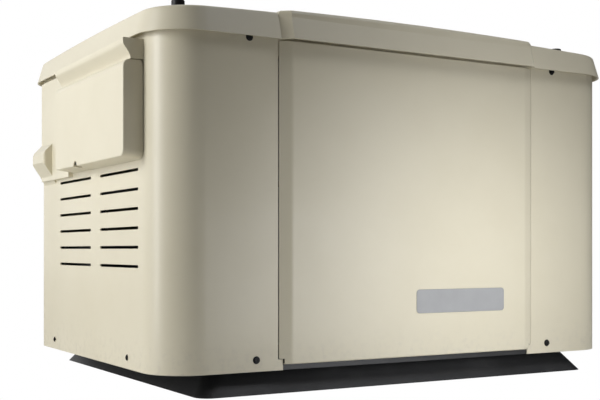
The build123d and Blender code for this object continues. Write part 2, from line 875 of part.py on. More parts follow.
toggle_x = panel_x + 6
toggle_slot = 8
with BuildPart() as breaker_body:
    with Locations((panel_x - 1 + breaker_depth / 2, breaker_y, window_z)):
        Box(breaker_depth, breaker_width, breaker_height)
    with Locations((toggle_x, breaker_y, window_z)):
        Box(34, toggle_slot, 34, mode=Mode.SUBTRACT)
    for z in (window_z - breaker_height / 2 + 8, window_z + breaker_height / 2 - 8):
        with Locations((panel_x - 1 + breaker_depth, breaker_y, z)):
            Box(12, breaker_width - 8, 8, mode=Mode.SUBTRACT)
    with BuildSketch(Plane.XZ.offset(-breaker_y)):
        with Locations((toggle_x, window_z)):
            Circle(2)
    extrude(amount=breaker_width / 2, both=True, mode=Mode.SUBTRACT)
keep(breaker_body, "breaker_body")

with BuildPart() as breaker_toggle:
    with BuildSketch(Plane.XZ.offset(-breaker_y)):
        with Locations((toggle_x, window_z)):
            Circle(toggle_radius)
        with Locations((toggle_x - 9, window_z)):
            Rectangle(18, 7)
    extrude(amount=toggle_slot / 2 - 0.4, both=True)
    with BuildSketch(Plane.XZ.offset(-breaker_y)):
        with Locations((toggle_x, window_z)):
            Circle(2 - running_gap)
    extrude(amount=breaker_width / 2 - 1, both=True)
keep(breaker_toggle, "breaker_toggle")

# ---- engine deck ----
rail_bottom_z = pan_floor + mount_height
deck_top = rail_bottom_z + rail_height_engine
rail_start = engine_x - 125
rail_end = engine_x + 335
rail_sheet = 3
mount_xs = (rail_start + 20, rail_end - 20)
deck_ys = (engine_y - deck_spacing / 2, engine_y + deck_spacing / 2)
with BuildPart() as engine_rails:
    for y in deck_ys:
        with BuildSketch(Plane.YZ.offset(rail_start)):
            with Locations((y, rail_bottom_z + rail_height_engine / 2)):
                Rectangle(rail_width, rail_height_engine)
            with Locations((y, rail_bottom_z + rail_height_engine / 2 - rail_sheet)):
                Rectangle(rail_width - 2 * rail_sheet, rail_height_engine, mode=Mode.SUBTRACT)
        extrude(amount=rail_end - rail_start)
    for x in mount_xs:
        with Locations((x, engine_y, rail_bottom_z + rail_sheet / 2)):
            Box(2 * mount_radius, deck_spacing - rail_width, rail_sheet)
        for y in deck_ys:
            with Locations((x, y, rail_bottom_z + rail_sheet / 2)):
                Box(2 * mount_radius, rail_width, rail_sheet)
keep(engine_rails, "engine_rails")

with BuildPart() as vibration_mounts:
    for x in mount_xs:
        with Locations((x, deck_ys[0], pan_floor), (x, deck_ys[1], pan_floor)):
            Cylinder(mount_radius, mount_height, align=(Align.CENTER, Align.CENTER, Align.MIN))
    fillet(vibration_mounts.edges().filter_by(GeomType.CIRCLE), radius=3)
keep(vibration_mounts, "vibration_mounts")

# ---- crankcase with the dipstick tube ----
case_left = engine_x - crankcase_length / 2
case_right = engine_x + crankcase_length / 2
deck_distance = 110  # from the shaft axis to the cylinder's foot
case_width = 210
dip_x = case_right - 15
dip_y = engine_y - case_width / 2 - 14
dip_tube_radius = 9
dip_bore_radius = 7
dip_top = shaft_height + 95
dip_bottom = shaft_height - 80
cylinder_foot = shaft_height + deck_distance
with BuildPart() as crankcase:
    with BuildSketch(Plane.YZ.offset(case_left)):
        with Locations((engine_y, shaft_height)):
            Circle(crankcase_radius)
        with Locations((engine_y, (deck_top + shaft_height) / 2)):
            Rectangle(case_width, shaft_height - deck_top)
        with Locations((engine_y, shaft_height + deck_distance / 2)):
            Rectangle(fin_width, deck_distance)
    extrude(amount=crankcase_length)
    fillet(crankcase.edges().filter_by(Axis.X).group_by(Axis.Z)[0], radius=10)
    with BuildSketch(Plane.YZ.offset(case_left + crankcase_wall)):
        with Locations((engine_y, shaft_height)):
            Circle(crankcase_radius - crankcase_wall)
    extrude(amount=crankcase_length - 2 * crankcase_wall, mode=Mode.SUBTRACT)
    with Locations((engine_x, engine_y, cylinder_foot)):
        Cylinder(cylinder_bore, 2 * deck_distance - 40, mode=Mode.SUBTRACT)
    with BuildSketch(Plane.YZ.offset(case_left - 1)):
        with Locations((engine_y, shaft_height)):
            Circle(bearing_radius)
    extrude(amount=crankcase_length + 2, mode=Mode.SUBTRACT)
    with Locations((dip_x, dip_y, dip_bottom)):
        Cylinder(dip_tube_radius, dip_top - dip_bottom, align=(Align.CENTER, Align.CENTER, Align.MIN))
    with Locations((dip_x, dip_y + 12, dip_bottom + 20)):
        Box(16, 12, 40)
    with Locations((dip_x, dip_y, dip_bottom + 5)):
        Cylinder(dip_bore_radius, dip_top, align=(Align.CENTER, Align.CENTER, Align.MIN), mode=Mode.SUBTRACT)
keep(crankcase, "crankcase")

dip_cap_radius = 13
dip_cap_height = 20
with BuildPart() as dipstick:
    with Locations((dip_x, dip_y, dip_top + 0.5)):
        Cylinder(dip_cap_radius, dip_cap_height, align=(Align.CENTER, Align.CENTER, Align.MIN))
        Cylinder(2.5, dip_top - dip_bottom - 10, align=(Align.CENTER, Align.CENTER, Align.MAX))
    fillet(dipstick.faces().sort_by(Axis.Z)[-1].edges(), radius=3)
keep(dipstick, "dipstick")

# ---- cylinder, head, rocker cover, plug ----
with BuildPart() as cylinder:
    with Locations((engine_x, engine_y, cylinder_foot)):
        Cylinder(cylinder_bore + 9, cylinder_height, align=(Align.CENTER, Align.CENTER, Align.MIN))
    fin_pitch = cylinder_height / fin_count
    for fin in range(fin_count):
        thickness = 8 if fin == 0 else 3
        with Locations((engine_x, engine_y, cylinder_foot + fin * fin_pitch + thickness / 2)):
            Box(fin_width, fin_width, thickness)
    with Locations((engine_x, engine_y, cylinder_foot)):
        Cylinder(cylinder_bore, 3 * cylinder_height, mode=Mode.SUBTRACT)
keep(cylinder, "cylinder")

head_z = cylinder_foot + cylinder_height
head_top = head_z + head_height
port_z = head_z + head_height / 2
port_radius = 14
with BuildPart() as cylinder_head:
    with Locations((engine_x, engine_y, head_z)):
        Box(fin_width, fin_width, 10, align=(Align.CENTER, Align.CENTER, Align.MIN))
        Box(fin_width - 26, fin_width - 10, head_height, align=(Align.CENTER, Align.CENTER, Align.MIN))
    for fin in range(1, 5):
        with Locations((engine_x, engine_y, head_z + fin * 10)):
            Box(fin_width, fin_width - 14, 3)
    for side in (-1, 1):
        with BuildSketch(Plane.XZ.offset(-engine_y + side * fin_width / 2)):
            with Locations((engine_x, port_z)):
                Circle(port_radius)
        extrude(amount=-side * 30, mode=Mode.SUBTRACT)
    with BuildSketch(Plane.YZ.offset(engine_x - fin_width / 2 - 2)):
        with Locations((engine_y, port_z)):
            Circle(11)
    extrude(amount=20, mode=Mode.SUBTRACT)
keep(cylinder_head, "cylinder_head")

with BuildPart() as rocker_cover:
    with Locations((engine_x, engine_y, head_top)):
        Box(fin_width - 30, fin_width - 22, 5, align=(Align.CENTER, Align.CENTER, Align.MIN))
    with BuildSketch(Plane.XY.offset(head_top)):
        with Locations((engine_x, engine_y)):
            RectangleRounded(fin_width - 44, fin_width - 36, 14)
    extrude(amount=rocker_height)
    fillet(rocker_cover.faces().sort_by(Axis.Z)[-1].edges(), radius=6)
keep(rocker_cover, "rocker_cover")

plug_x = engine_x - fin_width / 2 + 18
with BuildPart() as spark_plug:
    for start, radius, length in ((0, 9, 16), (16, 6, 22), (38, 10, 30)):
        with BuildSketch(Plane.YZ.offset(plug_x - start)):
            with Locations((engine_y, port_z)):
                Circle(radius)
        extrude(amount=-length)
keep(spark_plug, "spark_plug")

# ---- rotating line ----
ring_gear_x = case_left - 45
housing_left = case_left - housing_length - 7
fan_left = ring_gear_x - 42
web_radius = 58
web_width = 18
crank_pin_offset = 34
rotor_start = case_right + 33
shaft_end = case_right + 12


def disc(x, radius, length, mode=Mode.ADD):
    with BuildSketch(Plane.YZ.offset(x)) as face:
        with Locations((engine_y, shaft_height)):
            Circle(radius)
    extrude(face.sketch, amount=length, mode=mode)


with BuildPart() as crankshaft:
    disc(fan_left, shaft_radius - 4, case_left - 20 - fan_left)
    disc(case_left - 20, shaft_radius, engine_x - 15 - web_width - case_left + 20)
    disc(engine_x + 15 + web_width, shaft_radius, shaft_end - engine_x - 15 - web_width)
    disc(engine_x - 15 - web_width, web_radius, web_width)
    disc(engine_x + 15, web_radius, web_width)
    with BuildSketch(Plane.YZ.offset(engine_x - 15)):
        with Locations((engine_y, shaft_height + crank_pin_offset)):
            Circle(17)
    extrude(amount=30)
keep(crankshaft, "crankshaft")

fan_blade_count = 16
with BuildPart() as flywheel:
    disc(ring_gear_x - 15, ring_gear_radius - 14, 15)
    disc(ring_gear_x, ring_gear_radius - 12, 12)
    disc(ring_gear_x - 20, 34, 45)
    with BuildSketch(Plane.YZ.offset(ring_gear_x)):
        with Locations((engine_y, shaft_height)):
            with PolarLocations(ring_gear_radius - 7, 72):
                Rectangle(14, 5.6)
    extrude(amount=10)
    with BuildSketch(Plane.YZ.offset(ring_gear_x - 41)):
        with Locations((engine_y, shaft_height)):
            with PolarLocations(84, fan_blade_count):
                Rectangle(44, 4, rotation=25)
    extrude(amount=27)
    disc(ring_gear_x - 60, shaft_radius - 4, 100, mode=Mode.SUBTRACT)
keep(flywheel, "flywheel")

with BuildPart() as blower_housing:
    disc(housing_left, housing_radius, housing_length)
    disc(housing_left + sheet, housing_radius - sheet - 1, housing_length, mode=Mode.SUBTRACT)
    disc(housing_left - 1, 85, 10, mode=Mode.SUBTRACT)
    with Locations((case_left - 30, engine_y - housing_radius + 4, shaft_height)):
        Box(48, 60, 70, mode=Mode.SUBTRACT)
keep(blower_housing, "blower_housing")

starter_radius = 36
starter_length = 118
pinion_x = ring_gear_x + 14
with BuildPart() as starter_motor:
    with BuildSketch(Plane.YZ.offset(case_left + 4)):
        with Locations((starter_y, shaft_height)):
            Circle(starter_radius)
    extrude(amount=starter_length)
    fillet(starter_motor.edges().filter_by(GeomType.CIRCLE), radius=5)
    with BuildSketch(Plane.YZ.offset(pinion_x - 18)):
        with Locations((starter_y, shaft_height)):
            Circle(5)
    extrude(amount=case_left + 6 - pinion_x + 18)
    with Locations((engine_x - 55, starter_y, shaft_height + starter_radius - 2)):
        Cylinder(5, 12, align=(Align.CENTER, Align.CENTER, Align.MIN))
keep(starter_motor, "starter_motor")

with BuildPart() as starter_pinion:
    with BuildSketch(Plane.YZ.offset(pinion_x)):
        with Locations((starter_y, shaft_height)):
            Circle(9)
            with PolarLocations(10, 10):
                Rectangle(5, 3)
            Circle(5 + running_gap, mode=Mode.SUBTRACT)
    extrude(amount=16)
keep(starter_pinion, "starter_pinion")

filter_radius = 33
filter_z = deck_top + 52
with BuildPart() as oil_filter:
    with BuildSketch(Plane.XZ.offset(-engine_y + case_width / 2)):
        with Locations((engine_x + 20, filter_z)):
            Circle(filter_radius)
    extrude(amount=76)
    fillet(oil_filter.faces().sort_by(Axis.Y)[0].edges(), radius=9)
    with BuildSketch(Plane.XZ.offset(-engine_y + case_width / 2 + 60)):
        with Locations((engine_x + 20, filter_z)):
            with PolarLocations(filter_radius + 0.5, 12):
                Rectangle(3, 9)
    extrude(amount=10, mode=Mode.SUBTRACT)
keep(oil_filter, "oil_filter")

with BuildPart() as shaft_bearings:
    for x in (case_left, case_right - bearing_width):
        disc(x, bearing_radius, bearing_width)
    disc(case_left - 1, shaft_radius + running_gap, crankcase_length + 2, mode=Mode.SUBTRACT)
    end_bearing_x = rotor_start + stator_length + 8
    disc(end_bearing_x, 31, 16)
    disc(end_bearing_x - 1, 14 + running_gap, 20, mode=Mode.SUBTRACT)
keep(shaft_bearings, "shaft_bearings")

# ---- alternator ----
with BuildPart() as alternator_stator:
    disc(case_right, stator_radius, rotor_start - case_right)
    disc(rotor_start, stator_radius, stator_length)
    disc(case_right - 1, rotor_radius + 18, rotor_start - case_right + 1, mode=Mode.SUBTRACT)
    disc(rotor_start - 1, rotor_radius + air_gap, stator_length + 2, mode=Mode.SUBTRACT)
    with BuildSketch(Plane.YZ.offset(rotor_start + 20)):
        with Locations((engine_y, shaft_height)):
            with PolarLocations(stator_radius + 1, 24):
                Rectangle(8, 6)
    extrude(amount=stator_length - 40, mode=Mode.SUBTRACT)
keep(alternator_stator, "alternator_stator")

rotor_tail = end_bearing_x + 45
with BuildPart() as alternator_rotor:
    disc(rotor_start + 2, rotor_radius, stator_length - 6)
    disc(shaft_end, 14, rotor_tail - shaft_end)
    disc(end_bearing_x + 20, 22, 8)
    disc(end_bearing_x + 32, 22, 8)
    disc(rotor_start - 18, rotor_radius + 8, 14)
    with BuildSketch(Plane.YZ.offset(rotor_start - 18)):
        with Locations((engine_y, shaft_height)):
            with PolarLocations(rotor_radius - 4, 14):
                Rectangle(24, 12)
    extrude(amount=10, mode=Mode.SUBTRACT)
keep(alternator_rotor, "alternator_rotor")

bracket_x = rotor_start + stator_length
with BuildPart() as end_bracket:
    disc(bracket_x, stator_radius, 24)
    disc(bracket_x - 1, 31, 40, mode=Mode.SUBTRACT)
    with BuildSketch(Plane.YZ.offset(bracket_x)):
        with Locations((engine_y, shaft_height)):
            with PolarLocations(62, 6):
                Circle(20)
    extrude(amount=30, mode=Mode.SUBTRACT)
    for y in deck_ys:
        with Locations((bracket_x + 12, y, (deck_top + shaft_height - 50) / 2)):
            Box(24, 30, shaft_height - 50 - deck_top)
    disc(bracket_x - 1, stator_radius - 10, 8, mode=Mode.SUBTRACT)
keep(end_bracket, "end_bracket")

# ---- intake: mixer, throttle, air box ----
mixer_front = engine_y - fin_width / 2
mixer_length = 68
mixer_back = mixer_front - mixer_length
mixer_radius = 24
throttle_y = mixer_front - 22
throttle_radius = 13.6
mixer_stub = 8
hose_y = mixer_back + 22
with BuildPart() as fuel_mixer:
    with BuildSketch(Plane.XZ.offset(-mixer_front)):
        with Locations((engine_x, port_z)):
            Circle(mixer_radius)
    extrude(amount=mixer_length)
    with BuildSketch(Plane.XZ.offset(-mixer_front)):
        with Locations((engine_x, port_z)):
            RectangleRounded(66, 54, 10)
    extrude(amount=8)
    with BuildSketch(Plane.YZ.offset(engine_x - mixer_radius - mixer_stub)):
        with Locations((hose_y, port_z)):
            Circle(12)
            Circle(7, mode=Mode.SUBTRACT)
    extrude(amount=mixer_stub + 6)
    with BuildSketch(Plane.XZ.offset(-mixer_front)):
        with Locations((engine_x, port_z)):
            Circle(port_radius)
    extrude(amount=mixer_length, mode=Mode.SUBTRACT)
    with BuildSketch(Plane.YZ.offset(engine_x)):
        with Locations((throttle_y, port_z)):
            Circle(3 + running_gap)
    extrude(amount=60, both=True, mode=Mode.SUBTRACT)
keep(fuel_mixer, "fuel_mixer")

with BuildPart() as throttle_valve:
    with BuildSketch(Plane.YZ.offset(engine_x - 26)):
        with Locations((throttle_y, port_z)):
            Circle(3)
    extrude(amount=62)
    with BuildSketch(Plane.XZ.offset(-throttle_y - 0.75)):
        with Locations((engine_x, port_z)):
            Circle(throttle_radius)
    extrude(amount=1.5)
    with Locations((engine_x + 34, throttle_y, port_z + 12)):
        Box(3, 9, 32)
keep(throttle_valve, "throttle_valve")

air_box_width = 150
air_box_height = 118
air_box_x = engine_x - 28
air_box_z = port_z + 8
air_base_depth = 50
air_cover_depth = 48
air_wall = 3
air_base_back = mixer_back
with BuildPart() as air_box:
    with Locations((air_box_x, air_base_back - air_base_depth / 2, air_box_z)):
        Box(air_box_width, air_base_depth, air_box_height)
    fillet(air_box.edges().filter_by(Axis.Y), radius=10)
    offset(amount=-air_wall, openings=air_box.faces().sort_by(Axis.Y)[0])
    with BuildSketch(Plane.XZ.offset(-air_base_back - 1)):
        with Locations((engine_x, port_z)):
            Circle(port_radius)
    extrude(amount=8, mode=Mode.SUBTRACT)
keep(air_box, "air_box")

cover_back = air_base_back - air_base_depth
with BuildPart() as air_box_cover:
    with Locations((air_box_x, cover_back - air_cover_depth / 2, air_box_z)):
        Box(air_box_width, air_cover_depth, air_box_height)
    fillet(air_box_cover.edges().filter_by(Axis.Y), radius=10)
    fillet(air_box_cover.faces().sort_by(Axis.Y)[0].edges(), radius=6)
    offset(amount=-air_wall, openings=air_box_cover.faces().sort_by(Axis.Y)[-1])
    with BuildSketch(Plane.XZ.offset(-cover_back)):
        with Locations((air_box_x, air_box_z)):
            Circle(3.5)
    extrude(amount=air_cover_depth + 2, mode=Mode.SUBTRACT)
keep(air_box_cover, "air_box_cover")

element_depth = air_base_depth + air_cover_depth - 26
with BuildPart() as air_filter:
    with Locations((air_box_x, cover_back + 2, air_box_z)):
        Box(air_box_width - 22, element_depth, air_box_height - 22)
        Box(10, element_depth + 2, 10, mode=Mode.SUBTRACT)
keep(air_filter, "air_filter")

knob_y = cover_back - air_cover_depth
with BuildPart() as air_box_knob:
    with BuildSketch(Plane.XZ.offset(-knob_y + 0.3)):
        with Locations((air_box_x, air_box_z)):
            Circle(16)
            with PolarLocations(16, 6):
                Circle(4.5, mode=Mode.SUBTRACT)
    extrude(amount=13)
    with BuildSketch(Plane.XZ.offset(-knob_y - 40)):
        with Locations((air_box_x, air_box_z)):
            Circle(3)
    extrude(amount=45)
keep(air_box_knob, "air_box_knob")

# ---- gas train ----
regulator_radius = 52
regulator_back = inner_y - 26
regulator_depth = 40
hose_radius = 10
with BuildPart() as gas_regulator:
    with BuildSketch(Plane.XZ.offset(-regulator_back)):
        with Locations((gas_x, gas_z)):
            Circle(regulator_radius)
    extrude(amount=regulator_depth)
    fillet(gas_regulator.edges().filter_by(GeomType.CIRCLE), radius=7)
    with BuildSketch(Plane.XZ.offset(-regulator_back)):
        with Locations((gas_x, gas_z)):
            Rectangle(44, 44)
    extrude(amount=-22)
    with Locations((gas_x, regulator_back + 11, gas_z + 22)):
        Cylinder(15, 38, align=(Align.CENTER, Align.CENTER, Align.MIN))
    # inlet coupling through the back wall, with its pipe thread
    with BuildSketch(Plane.XZ.offset(-regulator_back - 20)):
        with Locations((gas_x, gas_z)):
            Circle(14)
    extrude(amount=-(half_depth + 10 - regulator_back - 20))
    with BuildSketch(Plane.XZ.offset(-half_depth - 10)):
        with Locations((gas_x, gas_z)):
            Circle(9.2)
    extrude(amount=20, mode=Mode.SUBTRACT)
    with BuildSketch(Plane.XZ.offset(-regulator_back + regulator_depth)):
        with Locations((gas_x, gas_z)):
            Circle(hose_radius + 3)
    extrude(amount=12)
keep(gas_regulator, "gas_regulator")

hose_start_y = regulator_back - regulator_depth - 12
hose_bend = 55
with BuildPart() as gas_hose:
    with BuildLine() as hose_route:
        FilletPolyline(
            (gas_x, hose_start_y, gas_z),
            (gas_x, hose_start_y - 90, gas_z),
            (gas_x, hose_y + 60, port_z),
            (gas_x, hose_y, port_z),
            (engine_x - mixer_radius - mixer_stub, hose_y, port_z),
            radius=[60, 60, hose_bend],
        )
    with BuildSketch(Plane(hose_route.line @ 0, z_dir=hose_route.line % 0)):
        Circle(hose_radius)
    sweep()
keep(gas_hose, "gas_hose")

# ---- exhaust ----
pipe_radius = 16
exhaust_start = engine_y + fin_width / 2
muffler_top = shaft_height + muffler_radius
with BuildPart() as exhaust_pipe:
    with BuildLine() as exhaust_route:
        FilletPolyline(
            (engine_x, exhaust_start, port_z),
            (engine_x, muffler_y, port_z),
            (engine_x, muffler_y, muffler_top - 1),
            radius=60,
        )
    with BuildSketch(Plane(exhaust_route.line @ 0, z_dir=exhaust_route.line % 0)):
        Circle(pipe_radius)
        Circle(pipe_radius - 1.6, mode=Mode.SUBTRACT)
    sweep()
    with BuildSketch(Plane.XZ.offset(-exhaust_start)):
        with Locations((engine_x, port_z)):
            RectangleRounded(64, 44, 10)
            Circle(pipe_radius - 1.6, mode=Mode.SUBTRACT)
    extrude(amount=-7)
keep(exhaust_pipe, "exhaust_pipe")

muffler_left = muffler_x - muffler_length / 2
muffler_sheet = 2
tail_end = half_width + tail_stub
with BuildPart() as muffler:
    with BuildSketch(Plane.YZ.offset(muffler_left)):
        with Locations((muffler_y, shaft_height)):
            Circle(muffler_radius)
    extrude(amount=muffler_length)
    fillet(muffler.edges().filter_by(GeomType.CIRCLE), radius=14)
    offset(amount=-muffler_sheet, kind=Kind.INTERSECTION, mode=Mode.SUBTRACT)
    with BuildSketch(Plane.YZ.offset(muffler_left + muffler_length - 1)):
        with Locations((muffler_y, shaft_height)):
            Circle(tail_radius)
    extrude(amount=tail_end - muffler_left - muffler_length + 1)
    with BuildSketch(Plane.YZ.offset(muffler_left + muffler_length - 10)):
        with Locations((muffler_y, shaft_height)):
            Circle(tail_radius - 1.6)
    extrude(amount=tail_end, mode=Mode.SUBTRACT)
    with Locations((engine_x, muffler_y, muffler_top - 20)):
        Cylinder(pipe_radius - 1.6, 60, mode=Mode.SUBTRACT)
        Cylinder(pipe_radius, 38, align=(Align.CENTER, Align.CENTER, Align.MIN), mode=Mode.SUBTRACT)
    for x in (muffler_x - 90, muffler_x + 90):
        bracket_height = shaft_height - muffler_radius + 6 - pan_floor
        with Locations((x, muffler_y, pan_floor + bracket_height / 2)):
            Box(30, 40, bracket_height)
    with BuildSketch(Plane.YZ.offset(muffler_left + 14)):
        with Locations((muffler_y, shaft_height)):
            Circle(muffler_radius - muffler_sheet)
    extrude(amount=muffler_length - 28, mode=Mode.SUBTRACT)
keep(muffler, "muffler")

shield_y = 135
with BuildPart() as muffler_shield:
    with BuildSketch(Plane.XZ.offset(-shield_y)):
        with Locations((muffler_x, (pan_floor + 330) / 2)):
            Rectangle(muffler_length + 30, 330 - pan_floor)
            with GridLocations(38, 26, 7, 8):
                SlotOverall(24, 6, mode=Mode.SUBTRACT)
    extrude(amount=1.5)
    with Locations((muffler_x, shield_y + 9, pan_floor + 0.75)):
        Box(muffler_length + 30, 18, 1.5)
keep(muffler_shield, "muffler_shield")

# ---- battery ----
battery_width = 173
battery_length = 208
battery_height = 197
battery_tray = 12
battery_x = -inner_x + 30 + battery_width / 2
battery_y = 178
post_y = battery_y - battery_length / 2 + 30
post_x = 55
battery_top = pan_floor + battery_tray + battery_height
with BuildPart() as battery:
    with Locations((battery_x, battery_y, pan_floor + battery_tray)):
        Box(battery_width, battery_length, battery_height, align=(Align.CENTER, Align.CENTER, Align.MIN))
    fillet(battery.edges().filter_by(Axis.Z), radius=6)
    fillet(battery.faces().sort_by(Axis.Z)[-1].edges(), radius=3)
    with Locations((battery_x - post_x, post_y, battery_top), (battery_x + post_x, post_y, battery_top)):
        Cylinder(8, 15, align=(Align.CENTER, Align.CENTER, Align.MIN))
keep(battery, "battery")

rod_radius = 4
strap_y = battery_y + 20
with BuildPart() as battery_holder:
    with Locations((battery_x, strap_y, battery_top + 3)):
        Box(battery_width + 30, 26, 6)
    rod_height = battery_top - pan_floor
    for side in (-1, 1):
        with Locations((battery_x + side * (battery_width / 2 + 8), strap_y, pan_floor)):
            Cylinder(rod_radius, rod_height + 12, align=(Align.CENTER, Align.CENTER, Align.MIN))
    tray_length = battery_length + 16
    with Locations((battery_x, battery_y, pan_floor + battery_tray / 2)):
        Box(battery_width + 26, tray_length, battery_tray)
        Box(battery_width - 40, tray_length - 50, battery_tray, mode=Mode.SUBTRACT)
keep(battery_holder, "battery_holder")


def cable(points, bend):
    # solid cable along straight runs with tangent arcs
    with BuildPart(mode=Mode.PRIVATE) as run:
        with BuildLine() as route:
            FilletPolyline(*points, radius=bend)
        with BuildSketch(Plane(route.line @ 0, z_dir=route.line % 0)):
            Circle(cable_radius)
        sweep()
    return run.part


post_top = battery_top + 15
starter_stud = shaft_height + starter_radius + 10
plus_points = (
    (battery_x + post_x, post_y, post_top),
    (battery_x + post_x, post_y, cable_z),
    (battery_x + post_x, starter_y, cable_z),
    (engine_x - 55, starter_y, cable_z),
    (engine_x - 55, starter_y, starter_stud),
)
minus_points = (
    (battery_x - post_x, post_y, post_top),
    (battery_x - post_x, post_y, cable_z + 20),
    (battery_x - post_x, ground_y, cable_z + 20),
    (engine_x - 135, ground_y, cable_z + 20),
    (engine_x - 135, ground_y, pan_floor),
)
with BuildPart() as battery_cables:
    add(cable(plus_points, 18))
    add(cable(minus_points, 18))
keep(battery_cables, "battery_cables")
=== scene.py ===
import json
import math

import bmesh
import bpy
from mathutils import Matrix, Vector


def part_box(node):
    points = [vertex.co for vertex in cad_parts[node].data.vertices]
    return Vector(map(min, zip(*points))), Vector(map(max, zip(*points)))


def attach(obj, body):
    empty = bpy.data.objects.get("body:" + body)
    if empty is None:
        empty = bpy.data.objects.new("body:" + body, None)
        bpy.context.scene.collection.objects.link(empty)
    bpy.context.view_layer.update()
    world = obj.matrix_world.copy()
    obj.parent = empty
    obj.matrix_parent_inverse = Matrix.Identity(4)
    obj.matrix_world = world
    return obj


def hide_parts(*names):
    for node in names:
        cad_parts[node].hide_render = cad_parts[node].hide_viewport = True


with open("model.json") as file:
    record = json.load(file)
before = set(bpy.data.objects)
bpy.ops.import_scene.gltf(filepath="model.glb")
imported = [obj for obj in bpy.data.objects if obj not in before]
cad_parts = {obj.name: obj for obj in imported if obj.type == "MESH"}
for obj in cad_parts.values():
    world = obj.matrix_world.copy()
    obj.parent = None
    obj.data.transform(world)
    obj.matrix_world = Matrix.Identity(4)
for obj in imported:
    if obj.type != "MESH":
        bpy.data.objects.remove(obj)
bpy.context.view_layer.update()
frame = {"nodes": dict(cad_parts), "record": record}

nodes = frame["nodes"]
subparts = frame["record"]["subparts"]
print("frame loaded:", len(nodes), "nodes")


# shader maths: a Value is one socket, and an expression on Values adds the Math nodes
class Value:
    def __init__(self, finish, socket):
        self.finish = finish
        self.socket = socket

    def maths(self, operation, *others):
        values = dict(enumerate((self, *others)))
        return self.finish.node("ShaderNodeMath", {"operation": operation}, values)

    def __add__(self, other):
        return self.maths("ADD", other)

    def __radd__(self, other):
        return self.maths("ADD", other)

    def __mul__(self, other):
        return self.maths("MULTIPLY", other)

    def __rsub__(self, other):
        return self.finish.node("ShaderNodeMath", {"operation": "SUBTRACT"}, {0: other, 1: self})

    def between(self, low, high):
        # 0 below low, 1 above high, smooth in between
        settings = {"interpolation_type": "SMOOTHSTEP", "clamp": True}
        values = {"Value": self, "From Min": low, "From Max": high}
        return self.finish.node("ShaderNodeMapRange", settings, values)


class Finish:
    # one material: a Principled shader, and one method that adds any other node
    def __init__(self, name, **constants):
        self.material = bpy.data.materials.new(name)
        self.material.use_nodes = True
        self.tree = self.material.node_tree
        self.shader = self.tree.nodes["Principled BSDF"]
        for socket, value in constants.items():
            self.shader.inputs[socket.replace("_", " ")].default_value = value
        self.place = self.node("ShaderNodeTexCoord", out="Object")

    def node(self, kind, settings=None, values=None, out=0):
        made = self.tree.nodes.new(kind)
        for key, value in (settings or {}).items():
            setattr(made, key, value)
        for key, value in (values or {}).items():
            self.feed(made.inputs[key], value)
        return Value(self, made.outputs[out])

    def feed(self, socket, value):
        if isinstance(value, Value):
            self.tree.links.new(value.socket, socket)
        elif socket.type == "RGBA" and len(value) == 3:
            socket.default_value = (*value, 1)
        else:
            socket.default_value = value

    def drive(self, **values):
        # what changes over the surface
        for key, value in values.items():
            self.feed(self.shader.inputs[key.replace("_", " ")], value)

    def stretch(self, x=1.0, y=1.0, z=1.0):
        # coordinates in metres, scaled along each axis
        return self.node("ShaderNodeVectorMath", {"operation": "MULTIPLY"}, {0: self.place, 1: (x, y, z)})

    def along(self, axis):
        return self.node("ShaderNodeSeparateXYZ", None, {0: self.place}, axis)

    def noise(self, size, detail=3.0, roughness=0.5, where=None):
        # size is the width of one blotch, in metres
        values = {"Vector": where or self.place, "Scale": 1 / size, "Detail": detail, "Roughness": roughness}
        return self.node("ShaderNodeTexNoise", None, values, "Fac")

    def cells(self, size, out="Distance"):
        # size is the width of one cell, in metres
        return self.node("ShaderNodeTexVoronoi", None, {"Vector": self.place, "Scale": 1 / size}, out)

    def mix(self, factor, first, second):
        return self.node("ShaderNodeMix", {"data_type": "RGBA"}, {0: factor, 6: first, 7: second}, 2)

    def bump(self, height, distance, strength=1.0):
        # distance is the relief in metres
        values = {"Height": height, "Distance": distance, "Strength": strength}
        self.drive(Normal=self.node("ShaderNodeBump", None, values))


# sizes and reliefs are in metres, colours are linear
enclosurePaint = {
    "colour": (0.655, 0.602, 0.458),
    "shade": (0.60, 0.545, 0.40),
    "dust": (0.52, 0.48, 0.40),
    "dustHeights": (0.036, 0.11),
    "dustSize": 0.012,
    "blotchSize": 0.16,
    "speckSize": 0.004,
    "peelSize": 0.0016,
    "peelRelief": 0.00005,
    "roughness": 0.34,
}


def paintedSteel():
    # beige powder coat: fine orange peel, faint mottling, a little dust low down
    look = enclosurePaint
    finish = Finish("paintedSteel", Coat_Weight=0.15, Coat_Roughness=0.2)
    peel = finish.noise(look["peelSize"], 2.0)
    blotch = finish.noise(look["blotchSize"], 4.0, 0.6)
    speck = finish.noise(look["speckSize"], 2.0)
    colour = finish.mix(blotch.between(0.35, 0.75) * 0.35, look["colour"], look["shade"])
    low = 1 - finish.along("Z").between(*look["dustHeights"])
    dusty = low * finish.noise(look["dustSize"], 5.0, 0.65).between(0.45, 0.75)
    colour = finish.mix(dusty * 0.4, colour, look["dust"])
    finish.drive(Base_Color=colour, Roughness=look["roughness"] + blotch * 0.08 + speck * 0.06 + dusty * 0.25)
    finish.bump(peel, look["peelRelief"])
    return finish.material


zincCoat = {
    "colour": (0.50, 0.515, 0.53),
    "pale": (0.64, 0.65, 0.655),
    "streak": (0.44, 0.44, 0.43),
    "spangleSize": 0.011,
    "streakSize": 0.03,
    "grainSize": 0.0012,
    "relief": 0.00002,
}


